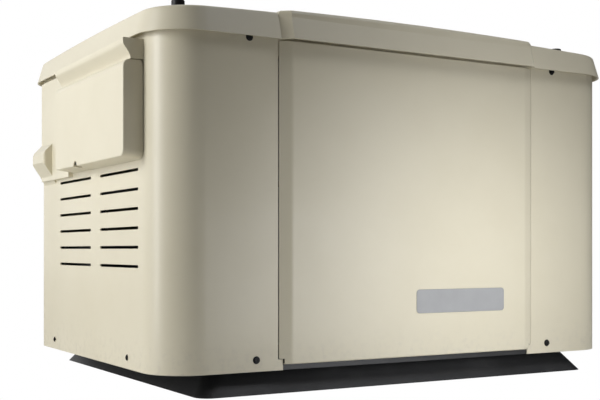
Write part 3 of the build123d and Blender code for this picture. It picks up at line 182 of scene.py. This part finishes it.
def galvanisedSteel():
    # zinc coat with its spangle
    look = zincCoat
    finish = Finish("galvanisedSteel")
    spangle = finish.cells(look["spangleSize"], out="Color")
    grey = finish.node("ShaderNodeSeparateColor", None, {0: spangle})
    streak = finish.noise(look["streakSize"], 4.0)
    colour = finish.mix(grey, look["colour"], look["pale"])
    colour = finish.mix(streak.between(0.5, 0.8) * 0.4, colour, look["streak"])
    finish.drive(Base_Color=colour, Metallic=0.85 + grey * 0.1, Roughness=0.3 + grey * 0.18 + streak * 0.1)
    finish.bump(finish.noise(look["grainSize"]), look["relief"])
    return finish.material


groundSteel = {
    "colour": (0.66, 0.66, 0.66),
    "film": (0.50, 0.47, 0.42),
    "markSize": 0.0006,
    "filmSize": 0.02,
    "relief": 0.00001,
}


def brightSteel():
    # turned and ground steel, with fine marks round the shaft
    look = groundSteel
    finish = Finish("brightSteel", Metallic=1.0)
    marks = finish.noise(look["markSize"], 2.0, 0.6, finish.stretch(3.0, 0.6, 0.6))
    film = finish.noise(look["filmSize"], 3.0)
    colour = finish.mix(film.between(0.4, 0.8) * 0.5, look["colour"], look["film"])
    finish.drive(Base_Color=colour, Roughness=0.2 + marks * 0.14 + film * 0.1)
    finish.bump(marks, look["relief"])
    return finish.material


screwOxide = {
    "colour": (0.018, 0.018, 0.019),
    "worn": (0.16, 0.155, 0.15),
    "wearSize": 0.0015,
    "sheenSize": 0.0007,
    "grainSize": 0.0005,
    "relief": 0.00002,
}


def blackScrew():
    # black oxide, worn a little to steel on the high spots
    look = screwOxide
    finish = Finish("blackScrew", Metallic=0.6)
    wear = finish.noise(look["wearSize"], 4.0, 0.65).between(0.62, 0.78)
    colour = finish.mix(wear * 0.5, look["colour"], look["worn"])
    finish.drive(Base_Color=colour, Roughness=0.36 + finish.noise(look["sheenSize"]) * 0.2)
    finish.bump(finish.noise(look["grainSize"]), look["relief"])
    return finish.material


padMoulding = {
    "colour": (0.012, 0.012, 0.012),
    "worn": (0.035, 0.034, 0.032),
    "grainSize": 0.0024,
    "fineSize": 0.0008,
    "scuffSize": 0.05,
    "relief": 0.0003,
}


def blackComposite():
    # moulded pad with a pebbled skin
    look = padMoulding
    finish = Finish("blackComposite")
    grain = finish.cells(look["grainSize"])
    scuff = finish.noise(look["scuffSize"], 5.0, 0.6).between(0.5, 0.8)
    colour = finish.mix(scuff * 0.5, look["colour"], look["worn"])
    finish.drive(Base_Color=colour, Roughness=0.5 + scuff * 0.2)
    finish.bump(grain + finish.noise(look["fineSize"]) * 0.4, look["relief"], 0.6)
    return finish.material


linerFoam = {
    "poreShade": (0.028, 0.028, 0.03),
    "skin": (0.075, 0.075, 0.078),
    "tone": (0.05, 0.05, 0.05),
    "poreSize": 0.0022,
    "toneSize": 0.03,
    "relief": 0.0008,
}


def foam():
    # open-cell foam with its pores; the pore hollows are painted darker than the cell walls, as painted shade
    look = linerFoam
    finish = Finish("foam", Sheen_Weight=0.3)
    pores = finish.cells(look["poreSize"])
    tone = finish.noise(look["toneSize"], 3.0)
    # painted shade: the pore colour darkens the hollows of the cells
    colour = finish.mix(pores.between(0.1, 0.45), look["poreShade"], look["skin"])
    finish.drive(Base_Color=finish.mix(tone * 0.3, colour, look["tone"]), Roughness=0.92 + tone * 0.05)
    finish.bump(pores, look["relief"], 0.8)
    return finish.material


dieCasting = {
    "colour": (0.52, 0.52, 0.51),
    "pale": (0.63, 0.63, 0.62),
    "sandSize": 0.0011,
    "cloudSize": 0.025,
    "relief": 0.00018,
}


def castAluminium():
    # die casting: sandy skin with a slight cloud
    look = dieCasting
    finish = Finish("castAluminium")
    sand = finish.noise(look["sandSize"], 4.0, 0.7)
    cloud = finish.noise(look["cloudSize"], 4.0)
    colour = finish.mix(cloud.between(0.35, 0.7), look["colour"], look["pale"])
    finish.drive(Base_Color=colour, Metallic=0.75 + cloud * 0.1, Roughness=0.45 + sand * 0.15)
    finish.bump(sand, look["relief"], 0.7)
    return finish.material


blackEnamel = {
    "colour": (0.014, 0.014, 0.015),
    "pale": (0.028, 0.028, 0.029),
    "cloudSize": 0.03,
    "peelSize": 0.0018,
    "relief": 0.00006,
}


def blackSteel():
    # black enamel on pressed steel
    look = blackEnamel
    finish = Finish("blackSteel", Coat_Weight=0.3, Coat_Roughness=0.15)
    cloud = finish.noise(look["cloudSize"], 3.0)
    finish.drive(Base_Color=finish.mix(cloud, look["colour"], look["pale"]), Roughness=0.3 + cloud * 0.15)
    finish.bump(finish.noise(look["peelSize"]), look["relief"])
    return finish.material


exhaustSheet = {
    "colour": (0.46, 0.45, 0.43),
    "pale": (0.60, 0.59, 0.57),
    "heatTint": (0.42, 0.31, 0.19),
    "streakSize": 0.006,
    "heatSize": 0.12,
    "relief": 0.00004,
}


def aluminisedSteel():
    # exhaust sheet with heat tint and light streaks
    look = exhaustSheet
    finish = Finish("aluminisedSteel")
    streak = finish.noise(look["streakSize"], 4.0, 0.6, finish.stretch(0.25, 1.0, 1.0))
    heat = finish.noise(look["heatSize"], 3.0)
    colour = finish.mix(streak, look["colour"], look["pale"])
    colour = finish.mix(heat.between(0.5, 0.72) * 0.55, colour, look["heatTint"])
    finish.drive(Base_Color=colour, Metallic=0.8 + streak * 0.1, Roughness=0.38 + streak * 0.18)
    finish.bump(streak, look["relief"])
    return finish.material


coreStack = {
    "gap": (0.10, 0.098, 0.095),
    "sheet": (0.24, 0.235, 0.23),
    "varnish": (0.13, 0.055, 0.03),
    "pitch": 0.0012,
    "varnishSize": 0.02,
    "relief": 0.00008,
}


def ironLaminate():
    # stacked laminations across the shaft, dulled with varnish
    look = coreStack
    finish = Finish("ironLaminate")
    sheets = (finish.along("X") * (2 * math.pi / look["pitch"])).maths("SINE") * 0.5 + 0.5
    varnish = finish.noise(look["varnishSize"], 4.0)
    colour = finish.mix(sheets * 0.6, look["gap"], look["sheet"])
    colour = finish.mix(varnish.between(0.55, 0.8) * 0.6, colour, look["varnish"])
    finish.drive(Base_Color=colour, Metallic=0.55 + sheets * 0.2, Roughness=0.42 + varnish * 0.2)
    finish.bump(sheets, look["relief"], 0.6)
    return finish.material


mouldGrain = {"grainSize": 0.0007, "toneSize": 0.03, "relief": 0.00005}


def mouldedPlastic(name, colour, darker, roughness=0.42):
    # injection moulding with a spark-eroded grain
    look = mouldGrain
    finish = Finish(name)
    grain = finish.noise(look["grainSize"], 3.0, 0.6)
    tone = finish.noise(look["toneSize"], 3.0)
    finish.drive(Base_Color=finish.mix(tone, darker, colour), Roughness=roughness + grain * 0.14)
    finish.bump(grain, look["relief"])
    return finish.material


lensWindow = {"colour": (0.012, 0.02, 0.014), "wiped": (0.03, 0.045, 0.032), "wipeSize": 0.01}


def displayLens():
    # dark window with faint wiping marks
    look = lensWindow
    finish = Finish("displayLens", IOR=1.49, Coat_Weight=0.6)
    wipe = finish.noise(look["wipeSize"], 4.0, 0.7, finish.stretch(1.0, 0.3, 1.0))
    finish.drive(Base_Color=finish.mix(wipe, look["colour"], look["wiped"]), Roughness=0.06 + wipe * 0.1)
    return finish.material


rubberSkin = {
    "colour": (0.016, 0.016, 0.017),
    "bloom": (0.05, 0.05, 0.051),
    "bloomSize": 0.008,
    "grainSize": 0.0006,
    "relief": 0.00004,
}


def rubber():
    # black rubber with a chalky bloom
    look = rubberSkin
    finish = Finish("rubber")
    bloom = finish.noise(look["bloomSize"], 5.0, 0.65).between(0.5, 0.8)
    colour = finish.mix(bloom * 0.5, look["colour"], look["bloom"])
    finish.drive(Base_Color=colour, Roughness=0.6 + bloom * 0.2)
    finish.bump(finish.noise(look["grainSize"]), look["relief"])
    return finish.material


finishes = {
    "painted_steel": paintedSteel(),
    "galvanised_steel": galvanisedSteel(),
    "bright_steel": brightSteel(),
    "black_screw": blackScrew(),
    "black_composite": blackComposite(),
    "foam": foam(),
    "cast_aluminium": castAluminium(),
    "black_steel": blackSteel(),
    "aluminised_steel": aluminisedSteel(),
    "iron_laminate": ironLaminate(),
    "black_plastic": mouldedPlastic("blackPlastic", (0.03, 0.03, 0.031), (0.018, 0.018, 0.019)),
    "grey_plastic": mouldedPlastic("greyPlastic", (0.36, 0.36, 0.355), (0.3, 0.3, 0.295)),
    "green_plastic": mouldedPlastic("greenPlastic", (0.03, 0.26, 0.075), (0.02, 0.2, 0.055), 0.3),
    "red_plastic": mouldedPlastic("redPlastic", (0.46, 0.022, 0.018), (0.36, 0.015, 0.012), 0.3),
    "yellow_plastic": mouldedPlastic("yellowPlastic", (0.74, 0.5, 0.03), (0.62, 0.4, 0.02), 0.35),
    "fuse_plastic": mouldedPlastic("fusePlastic", (0.4, 0.09, 0.05), (0.3, 0.06, 0.035), 0.35),
    "lens": displayLens(),
    "rubber": rubber(),
}
for subpart in subparts:
    for slot in nodes[subpart["node"]].material_slots:
        slot.material = finishes[subpart["material_slot"]]
print("finishes made:", len(finishes))


def axes(normal):
    # two directions across a normal
    normal = Vector(normal).normalized()
    side = normal.orthogonal().normalized()
    return normal, side, normal.cross(side)


def hoops(mesh, centre, normal, profile, segments):
    # a loop of vertices for each (distance along the normal, radius)
    normal, side, up = axes(normal)
    loops = []
    for along, radius in profile:
        loop = []
        for step in range(segments):
            angle = 2 * math.pi * step / segments
            spoke = side * math.cos(angle) + up * math.sin(angle)
            loop.append(mesh.verts.new(Vector(centre) + normal * along + spoke * radius))
        loops.append(loop)
    return loops


def skin(mesh, low, high):
    # the faces between two loops
    for step in range(len(low)):
        after = (step + 1) % len(low)
        mesh.faces.new((low[step], low[after], high[after], high[step]))


def turned(mesh, centre, normal, profile, segments=32):
    # a turned form, closed at both ends; a radius of 0 becomes a point just wide enough for a face
    loops = hoops(mesh, centre, normal, [(along, max(radius, 1e-5)) for along, radius in profile], segments)
    for low, high in zip(loops, loops[1:]):
        skin(mesh, low, high)
    mesh.faces.new(loops[0][::-1])
    mesh.faces.new(loops[-1])


def ring(mesh, centre, normal, inner, outer, height, soft, segments=48):
    # a flat ring with softened edges
    profile = [(0, inner), (0, outer), (height - soft, outer), (height, outer - soft), (height, inner + soft)]
    loops = hoops(mesh, centre, normal, profile + [(height - soft, inner)], segments)
    for low, high in zip(loops, loops[1:] + loops[:1]):
        skin(mesh, low, high)


def prism(mesh, centre, normal, across, height, chamfer, sides=6):
    # a bar of that many sides with a chamfered top
    radius = across / 2 / math.cos(math.pi / sides)
    turned(mesh, centre, normal, [(0, radius), (height - chamfer, radius), (height, radius - chamfer)], sides)


def block(mesh, low, high, soft):
    # a box with bevelled edges
    low, high = Vector(low), Vector(high)
    made = bmesh.ops.create_cube(mesh, size=1.0)
    bmesh.ops.scale(mesh, vec=high - low, verts=made["verts"])
    bmesh.ops.translate(mesh, vec=(high + low) / 2, verts=made["verts"])
    edges = list({edge for vert in made["verts"] for edge in vert.link_edges})
    bmesh.ops.bevel(mesh, geom=edges, offset=soft, segments=2, profile=0.6, affect="EDGES")


def piece(name, mesh, body, slot, sharp=32):
    # make a scene object of a finished mesh: its material, its slot and the body it moves with
    bmesh.ops.recalc_face_normals(mesh, faces=mesh.faces)
    data = bpy.data.meshes.new(name)
    mesh.to_mesh(data)
    mesh.free()
    data.polygons.foreach_set("use_smooth", [True] * len(data.polygons))
    data.set_sharp_from_angle(angle=math.radians(sharp))
    made = bpy.data.objects.new(name, data)
    bpy.context.scene.collection.objects.link(made)
    data.materials.append(finishes[slot])
    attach(made, body)
    return made


def islands(node):
    # the box of each separate solid of a node
    mesh = bmesh.new()
    mesh.from_mesh(nodes[node].data)
    bmesh.ops.remove_doubles(mesh, verts=mesh.verts, dist=1e-6)
    seen = set()
    boxes = []
    for start in mesh.verts:
        if start.index in seen:
            continue
        seen.add(start.index)
        found = [start]
        for vert in found:
            for edge in vert.link_edges:
                other = edge.other_vert(vert)
                if other.index not in seen:
                    seen.add(other.index)
                    found.append(other)
        low = Vector([min(vert.co[axis] for vert in found) for axis in range(3)])
        high = Vector([max(vert.co[axis] for vert in found) for axis in range(3)])
        boxes.append((low, high))
    mesh.free()
    return boxes


def middle(node):
    low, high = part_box(node)
    return (low + high) / 2


# panel screws: washer head, hexagon and a cross recess
panelScrew = {
    "shank": [(-0.009, 0.0018), (-0.007, 0.0025), (0, 0.0026)],
    "head": 0.006,
    "washer": 0.0012,
    "hexagon": 0.0085,
    "height": 0.0036,
    "chamfer": 0.0004,
    "recess": 0.0042,
    "blade": 0.0011,
    "recessHeight": 0.0001,
    "recessSoft": 0.00004,
    "endWallReach": 0.012,  # a screw this near to an end wall's outside is in that wall
}


def makePanelScrews():
    look = panelScrew
    washer = look["washer"]
    head = [(0, look["head"]), (washer * 0.6, look["head"]), (washer, look["head"] * 0.93), (washer, 0.003)]
    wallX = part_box("left_side_panel")[0].x
    mesh = bmesh.new()
    for low, high in islands("panel_screws"):
        centre = (low + high) / 2
        if abs(centre.x) > abs(wallX) - look["endWallReach"]:
            normal = Vector((math.copysign(1, centre.x), 0, 0))
            face = Vector((high.x if centre.x > 0 else low.x, centre.y, centre.z))
        else:
            normal = Vector((0, math.copysign(1, centre.y), 0))
            face = Vector((centre.x, high.y if centre.y > 0 else low.y, centre.z))
        base = face - normal * look["height"]
        turned(mesh, base, normal, look["shank"] + head)
        rise = look["height"] - washer
        prism(mesh, base + normal * washer, normal, look["hexagon"], rise, look["chamfer"])
        _, side, up = axes(normal)
        for way in (side, up):
            across = way.cross(normal)
            reach = way * look["recess"] / 2 + across * look["blade"] / 2 + normal * look["recessHeight"]
            ends = list(zip(face - reach, face + reach))
            block(mesh, [min(pair) for pair in ends], [max(pair) for pair in ends], look["recessSoft"])
    made = piece("panelScrewSet", mesh, "enclosure", "black_screw")
    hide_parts("panel_screws")


# blank name plate on the front panel
namePlate = {
    "width": 0.19,
    "height": 0.040,
    "thick": 0.0008,
    "gap": 0.00005,
    "right": 0.094,
    "up": 0.092,
    "corner": 0.006,
    "cornerSteps": 6,
    "rim": 0.0016,
    "groove": 0.0005,
    "grooveDepth": 0.0004,
}


def makeNamePlate():
    look = namePlate
    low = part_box("front_panel")[0]
    x = look["right"]
    z = low.z + look["up"]
    corners = []
    for sideX, sideZ, start in ((1, 1, 0), (-1, 1, 90), (-1, -1, 180), (1, -1, 270)):
        for step in range(look["cornerSteps"] + 1):
            angle = math.radians(start + 90 / look["cornerSteps"] * step)
            cornerX = x + sideX * (look["width"] / 2 - look["corner"]) + look["corner"] * math.cos(angle)
            cornerZ = z + sideZ * (look["height"] / 2 - look["corner"]) + look["corner"] * math.sin(angle)
            corners.append((cornerX, cornerZ))
    mesh = bmesh.new()
    back = [mesh.verts.new((px, low.y - look["gap"], pz)) for px, pz in corners]
    front = [mesh.verts.new((px, low.y - look["thick"], pz)) for px, pz in corners]
    face = mesh.faces.new(front)
    mesh.faces.new(back[::-1])
    skin(mesh, back, front)
    bmesh.ops.inset_individual(mesh, faces=[face], thickness=look["rim"], depth=0.0)
    bmesh.ops.inset_individual(mesh, faces=[face], thickness=look["groove"], depth=-look["grooveDepth"])
    piece("blankNamePlate", mesh, "front_panel", "grey_plastic")


# washers under the lid locks, and the hinge screws
lockWasher = {
    "inner": 0.0098,
    "outer": 0.0155,
    "height": 0.0014,
    "soft": 0.0003,
    "below": 0.0211,  # under the top of the lock
    "centre": 0.0105,  # from the front of the lock
}
hingeScrew = {
    "head": [(0, 0.0048), (0.0012, 0.0048), (0.0026, 0.0036), (0.0028, 0.0)],
    "fromEnd": 0.012,
    "seat": 0.003,
    "up": 0.014,
}


def makeLidFittings():
    look = lockWasher
    mesh = bmesh.new()
    for node in ("lid_lock_left", "lid_lock_right"):
        low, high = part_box(node)
        place = ((low.x + high.x) / 2, low.y + look["centre"], high.z - look["below"])
        ring(mesh, place, (0, 0, 1), look["inner"], look["outer"], look["height"], look["soft"])
    piece("lockWashers", mesh, "lid", "rubber")
    look = hingeScrew
    mesh = bmesh.new()
    for low, high in islands("hinge_leaves_body"):
        for x in (low.x + look["fromEnd"], (low.x + high.x) / 2, high.x - look["fromEnd"]):
            turned(mesh, (x, low.y + look["seat"], low.z + look["up"]), (0, 1, 0), look["head"], 24)
    piece("hingeScrews", mesh, "enclosure", "bright_steel")


# control panel furniture; a ring is inner radius, outer radius, height and softness
controlFace = {
    "behindButton": 0.004,
    "bezel": 0.004,
    "bezelFront": 0.0022,
    "bezelBack": 0.0004,
    "bezelSoft": 0.0006,
    "buttonRing": (0.0096, 0.0135, 0.0018, 0.0005),
    "fuseRing": (0.0086, 0.0125, 0.0026, 0.0006),
    "barHeight": 0.005,
    "barBelow": 0.006,
    "barAbove": 0.001,
    "barFront": 0.0016,
    "barBack": 0.0002,
    "barSoft": 0.0004,
    "lampRadius": 0.0026,
    "lampCollar": 0.0006,
    "lampStart": 0.02,
    "lampPitch": 0.0224,
    "lampDrop": 0.016,
}


def makeControlFace():
    look = controlFace
    lensLow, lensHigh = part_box("display_lens")
    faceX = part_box("button_off")[0].x + look["behindButton"]
    mesh = bmesh.new()
    bezel = look["bezel"]
    frameLow = Vector((faceX - look["bezelFront"], lensLow.y - bezel, lensLow.z - bezel))
    frameHigh = Vector((faceX + look["bezelBack"], lensHigh.y + bezel, lensHigh.z + bezel))
    bars = ((frameLow, (frameHigh.x, frameHigh.y, lensLow.z)),
            ((frameLow.x, frameLow.y, lensHigh.z), frameHigh),
            ((frameLow.x, frameLow.y, lensLow.z), (frameHigh.x, lensLow.y, lensHigh.z)),
            ((frameLow.x, lensHigh.y, lensLow.z), (frameHigh.x, frameHigh.y, lensHigh.z)))
    for low, high in bars:
        block(mesh, low, high, look["bezelSoft"])
    for node in ("button_auto", "button_off", "button_manual"):
        centre = middle(node)
        ring(mesh, (faceX, centre.y, centre.z), (-1, 0, 0), *look["buttonRing"])
    centre = middle("fuse")
    ring(mesh, (faceX, centre.y, centre.z), (-1, 0, 0), *look["fuseRing"])
    low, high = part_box("breaker_body")
    for z in (low.z - look["barBelow"], high.z + look["barAbove"]):
        start = (faceX - look["barFront"], low.y, z)
        block(mesh, start, (faceX + look["barBack"], high.y, z + look["barHeight"]), look["barSoft"])
    piece("controlBezels", mesh, "enclosure", "black_plastic")
    radius = look["lampRadius"]
    collar = look["lampCollar"]
    dome = [(0, radius * 1.3), (collar, radius * 1.3), (collar, radius)]
    for degrees in (20, 45, 70, 88):
        angle = math.radians(degrees)
        dome.append((collar + radius * math.sin(angle), radius * math.cos(angle)))
    lamps = (("readyLamp", "green_plastic"), ("serviceLamp", "yellow_plastic"), ("faultLamp", "red_plastic"))
    for step, (lamp, slot) in enumerate(lamps):
        mesh = bmesh.new()
        y = lensLow.y + look["lampStart"] + step * look["lampPitch"]
        turned(mesh, (faceX, y, lensLow.z - look["lampDrop"]), (-1, 0, 0), dome, 24)
        piece(lamp, mesh, "enclosure", slot)


# engine bolts; a bolt is its size across the flats and its height over the seat
engineBolt = {
    "washer": 0.0012,
    "washerEdge": 0.0002,
    "chamfer": 0.0006,
    "coverBolt": (0.008, 0.005),
    "coverInset": (0.007, 0.0075),
    "coverFlange": 0.005,
    "caseBolt": (0.010, 0.006),
    "caseCircle": 0.088,
    "caseAngles": (67.5, 112.5, 247.5, 292.5),
    "caseSunk": 0.0002,
    "regulatorBolt": (0.007, 0.0045),
    "regulatorCircle": 0.041,
    "regulatorAngles": (30, 90, 150, 210, 270, 330),
    "regulatorUp": 0.052,
    "regulatorFace": 0.012,  # behind the back of the gas hose
    "bracketBolt": (0.010, 0.0065),
    "bracketCircle": 0.096,
    "bracketAngles": (45, 135, 225, 315),
}


def bolt(mesh, seat, normal, across, height):
    washer = engineBolt["washer"]
    edge = washer + engineBolt["washerEdge"]
    profile = [(0, across * 0.66), (washer, across * 0.66), (edge, across * 0.6), (edge, 0.001)]
    turned(mesh, seat, normal, profile, 24)
    base = Vector(seat) + Vector(normal) * washer
    prism(mesh, base, normal, across, height - washer, engineBolt["chamfer"])


def circlePoints(radius, angles):
    for degrees in angles:
        angle = math.radians(degrees)
        yield radius * math.cos(angle), radius * math.sin(angle)


def makeEngineFasteners():
    look = engineBolt
    mesh = bmesh.new()
    low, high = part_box("rocker_cover")
    insetX, insetY = look["coverInset"]
    for x in (low.x + insetX, high.x - insetX):
        for y in (low.y + insetY, high.y - insetY):
            bolt(mesh, (x, y, low.z + look["coverFlange"]), (0, 0, 1), *look["coverBolt"])
    shaft = middle("shaft_bearings")
    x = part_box("crankcase")[0].x + look["caseSunk"]
    for y, z in circlePoints(look["caseCircle"], look["caseAngles"]):
        bolt(mesh, (x, shaft.y + y, shaft.z + z), (-1, 0, 0), *look["caseBolt"])
    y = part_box("gas_hose")[1].y + look["regulatorFace"]
    centreX = middle("gas_regulator").x
    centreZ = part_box("gas_regulator")[0].z + look["regulatorUp"]
    for x, z in circlePoints(look["regulatorCircle"], look["regulatorAngles"]):
        bolt(mesh, (centreX + x, y, centreZ + z), (0, -1, 0), *look["regulatorBolt"])
    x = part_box("end_bracket")[1].x
    for y, z in circlePoints(look["bracketCircle"], look["bracketAngles"]):
        bolt(mesh, (x, shaft.y + y, shaft.z + z), (1, 0, 0), *look["bracketBolt"])
    piece("engineBolts", mesh, "enclosure", "bright_steel")


# battery: vent strips with their caps, and the terminal covers
batteryTop = {
    "lidBelow": 0.015,  # the lid of the case, under the top of the posts
    "strips": (0.055, 0.118),
    "stripHalf": 0.014,
    "stripReach": (0.075, 0.108),
    "stripHeight": 0.004,
    "stripSunk": 0.0002,
    "stripSoft": 0.0012,
    "cap": [(0, 0.0055), (0.0014, 0.0055), (0.002, 0.0048), (0.002, 0.0)],
    "capPlaces": (0.0845, 0.0985),
    "cover": [(0.0001, 0.0125), (0.008, 0.0125), (0.0095, 0.0105), (0.0135, 0.0098), (0.0145, 0.009)],
    "coverInset": 0.0315,
    "coverPlace": 0.030,
}


def makeBatteryTop():
    look = batteryTop
    low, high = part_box("battery")
    lid = high.z - look["lidBelow"]
    stripFront, stripBack = look["stripReach"]
    stripTop = lid + look["stripHeight"]
    mesh = bmesh.new()
    for place in look["strips"]:
        x = low.x + place
        start = (x - look["stripHalf"], low.y + stripFront, lid - look["stripSunk"])
        block(mesh, start, (x + look["stripHalf"], low.y + stripBack, stripTop), look["stripSoft"])
        for capPlace in look["capPlaces"]:
            turned(mesh, (x, low.y + capPlace, stripTop), (0, 0, 1), look["cap"], 24)
    piece("batteryVentStrips", mesh, "enclosure", "grey_plastic")
    covers = (("blackTerminalCover", low.x + look["coverInset"], "rubber"),
              ("redTerminalCover", high.x - look["coverInset"], "red_plastic"))
    for name, x, slot in covers:
        mesh = bmesh.new()
        turned(mesh, (x, low.y + look["coverPlace"], lid), (0, 0, 1), look["cover"])
        piece(name, mesh, "enclosure", slot)


makePanelScrews()
makeNamePlate()
makeLidFittings()
makeControlFace()
makeEngineFasteners()
makeBatteryTop()
print("fittings made")


camera = {"place": (-1.039, -1.746, 0.224), "turn": -30.0, "lens": 62.2, "rise": 0.083}


def makeCamera():
    view = bpy.data.cameras.new("camera")
    view.lens = camera["lens"]
    view.shift_y = camera["rise"]
    viewer = bpy.data.objects.new("camera", view)
    viewer.location = camera["place"]
    viewer.rotation_euler = (math.radians(90), 0, math.radians(camera["turn"]))
    bpy.context.scene.collection.objects.link(viewer)
    bpy.context.scene.camera = viewer


# place, target, size, power in watts, tint, and spread in degrees
softboxes = {
    "leftSoftbox": ((-2.0, -0.02, 0.55), (-0.4, -0.05, 0.3), (0.5, 1.2), 13.2, (0.99, 1.0, 1.01), 180),
    "leftHighSoftbox": ((-1.7, 0.0, 1.1), (-0.45, -0.1, 0.35), (0.4, 0.5), 8.6, (0.99, 1.0, 1.01), 180),
    "frontSoftbox": ((0.14, -0.95, 0.16), (0.14, -0.33, 0.14), (0.5, 0.3), 0.8, (0.98, 1.0, 1.05), 95),
    "rightSoftbox": ((0.2, -0.9, 0.42), (0.13, -0.33, 0.27), (0.35, 0.3), 0.24, (0.98, 1.0, 1.05), 75),
    "highSoftbox": ((0.6, -1.2, 2.1), (0.25, -0.3, 0.4), (1.0, 0.8), 1.95, (0.98, 1.0, 1.05), 60),
    "topSoftbox": ((0.3, 0.6, 2.6), (0.1, 0.2, 0.6), (1.6, 1.2), 7, (1, 1, 1), 180),
}


def softLight(name, place, target, size, power, tint, spread):
    lamp = bpy.data.lights.new(name, "AREA")
    lamp.spread = math.radians(spread)
    lamp.shape = "RECTANGLE"
    lamp.size, lamp.size_y = size
    lamp.energy = power
    lamp.color = tint
    light = bpy.data.objects.new(name, lamp)
    light.location = place
    light.visible_camera = False
    light.rotation_euler = (Vector(target) - Vector(place)).to_track_quat("-Z", "Y").to_euler()
    bpy.context.scene.collection.objects.link(light)


# the room is pale behind the set and dim in front of it, so that the softboxes shape the front
studio = {
    "floor": (0.86, 0.86, 0.86),
    "floorTone": (0.82, 0.82, 0.81),
    "floorSize": 14.0,
    "behind": (1.0, 1.0, 1.0),
    "before": (0.04, 0.04, 0.04),
    "turnsPale": (0.4, 0.65),
}


def makeFloor():
    mesh = bpy.data.meshes.new("floor")
    half = studio["floorSize"] / 2
    corners = [(-half, -half, 0), (half, -half, 0), (half, half, 0), (-half, half, 0)]
    mesh.from_pydata(corners, [], [(0, 1, 2, 3)])
    floor = bpy.data.objects.new("floor", mesh)
    bpy.context.scene.collection.objects.link(floor)
    finish = Finish("floorFinish", Roughness=0.85)
    tone = finish.noise(0.8, 3.0)
    finish.drive(Base_Color=finish.mix(tone * 0.2, studio["floor"], studio["floorTone"]))
    mesh.materials.append(finish.material)
    floor.visible_camera = False


def makeRoom():
    world = bpy.data.worlds.new("studio")
    bpy.context.scene.world = world
    world.use_nodes = True
    tree = world.node_tree
    direction = tree.nodes.new("ShaderNodeTexCoord")
    parts = tree.nodes.new("ShaderNodeSeparateXYZ")
    ramp = tree.nodes.new("ShaderNodeMapRange")
    ramp.interpolation_type = "SMOOTHSTEP"
    ramp.inputs["From Min"].default_value, ramp.inputs["From Max"].default_value = studio["turnsPale"]
    shade = tree.nodes.new("ShaderNodeMix")
    shade.data_type = "RGBA"
    shade.inputs[6].default_value = (*studio["before"], 1)
    shade.inputs[7].default_value = (*studio["behind"], 1)
    tree.links.new(direction.outputs["Generated"], parts.inputs[0])
    tree.links.new(parts.outputs["Y"], ramp.inputs["Value"])
    tree.links.new(ramp.outputs[0], shade.inputs[0])
    tree.links.new(shade.outputs[2], tree.nodes["Background"].inputs["Color"])
    bpy.context.scene.view_settings.view_transform = "Standard"


makeCamera()
makeFloor()
makeRoom()
for name, values in softboxes.items():
    softLight(name, *values)
print("camera and studio made")
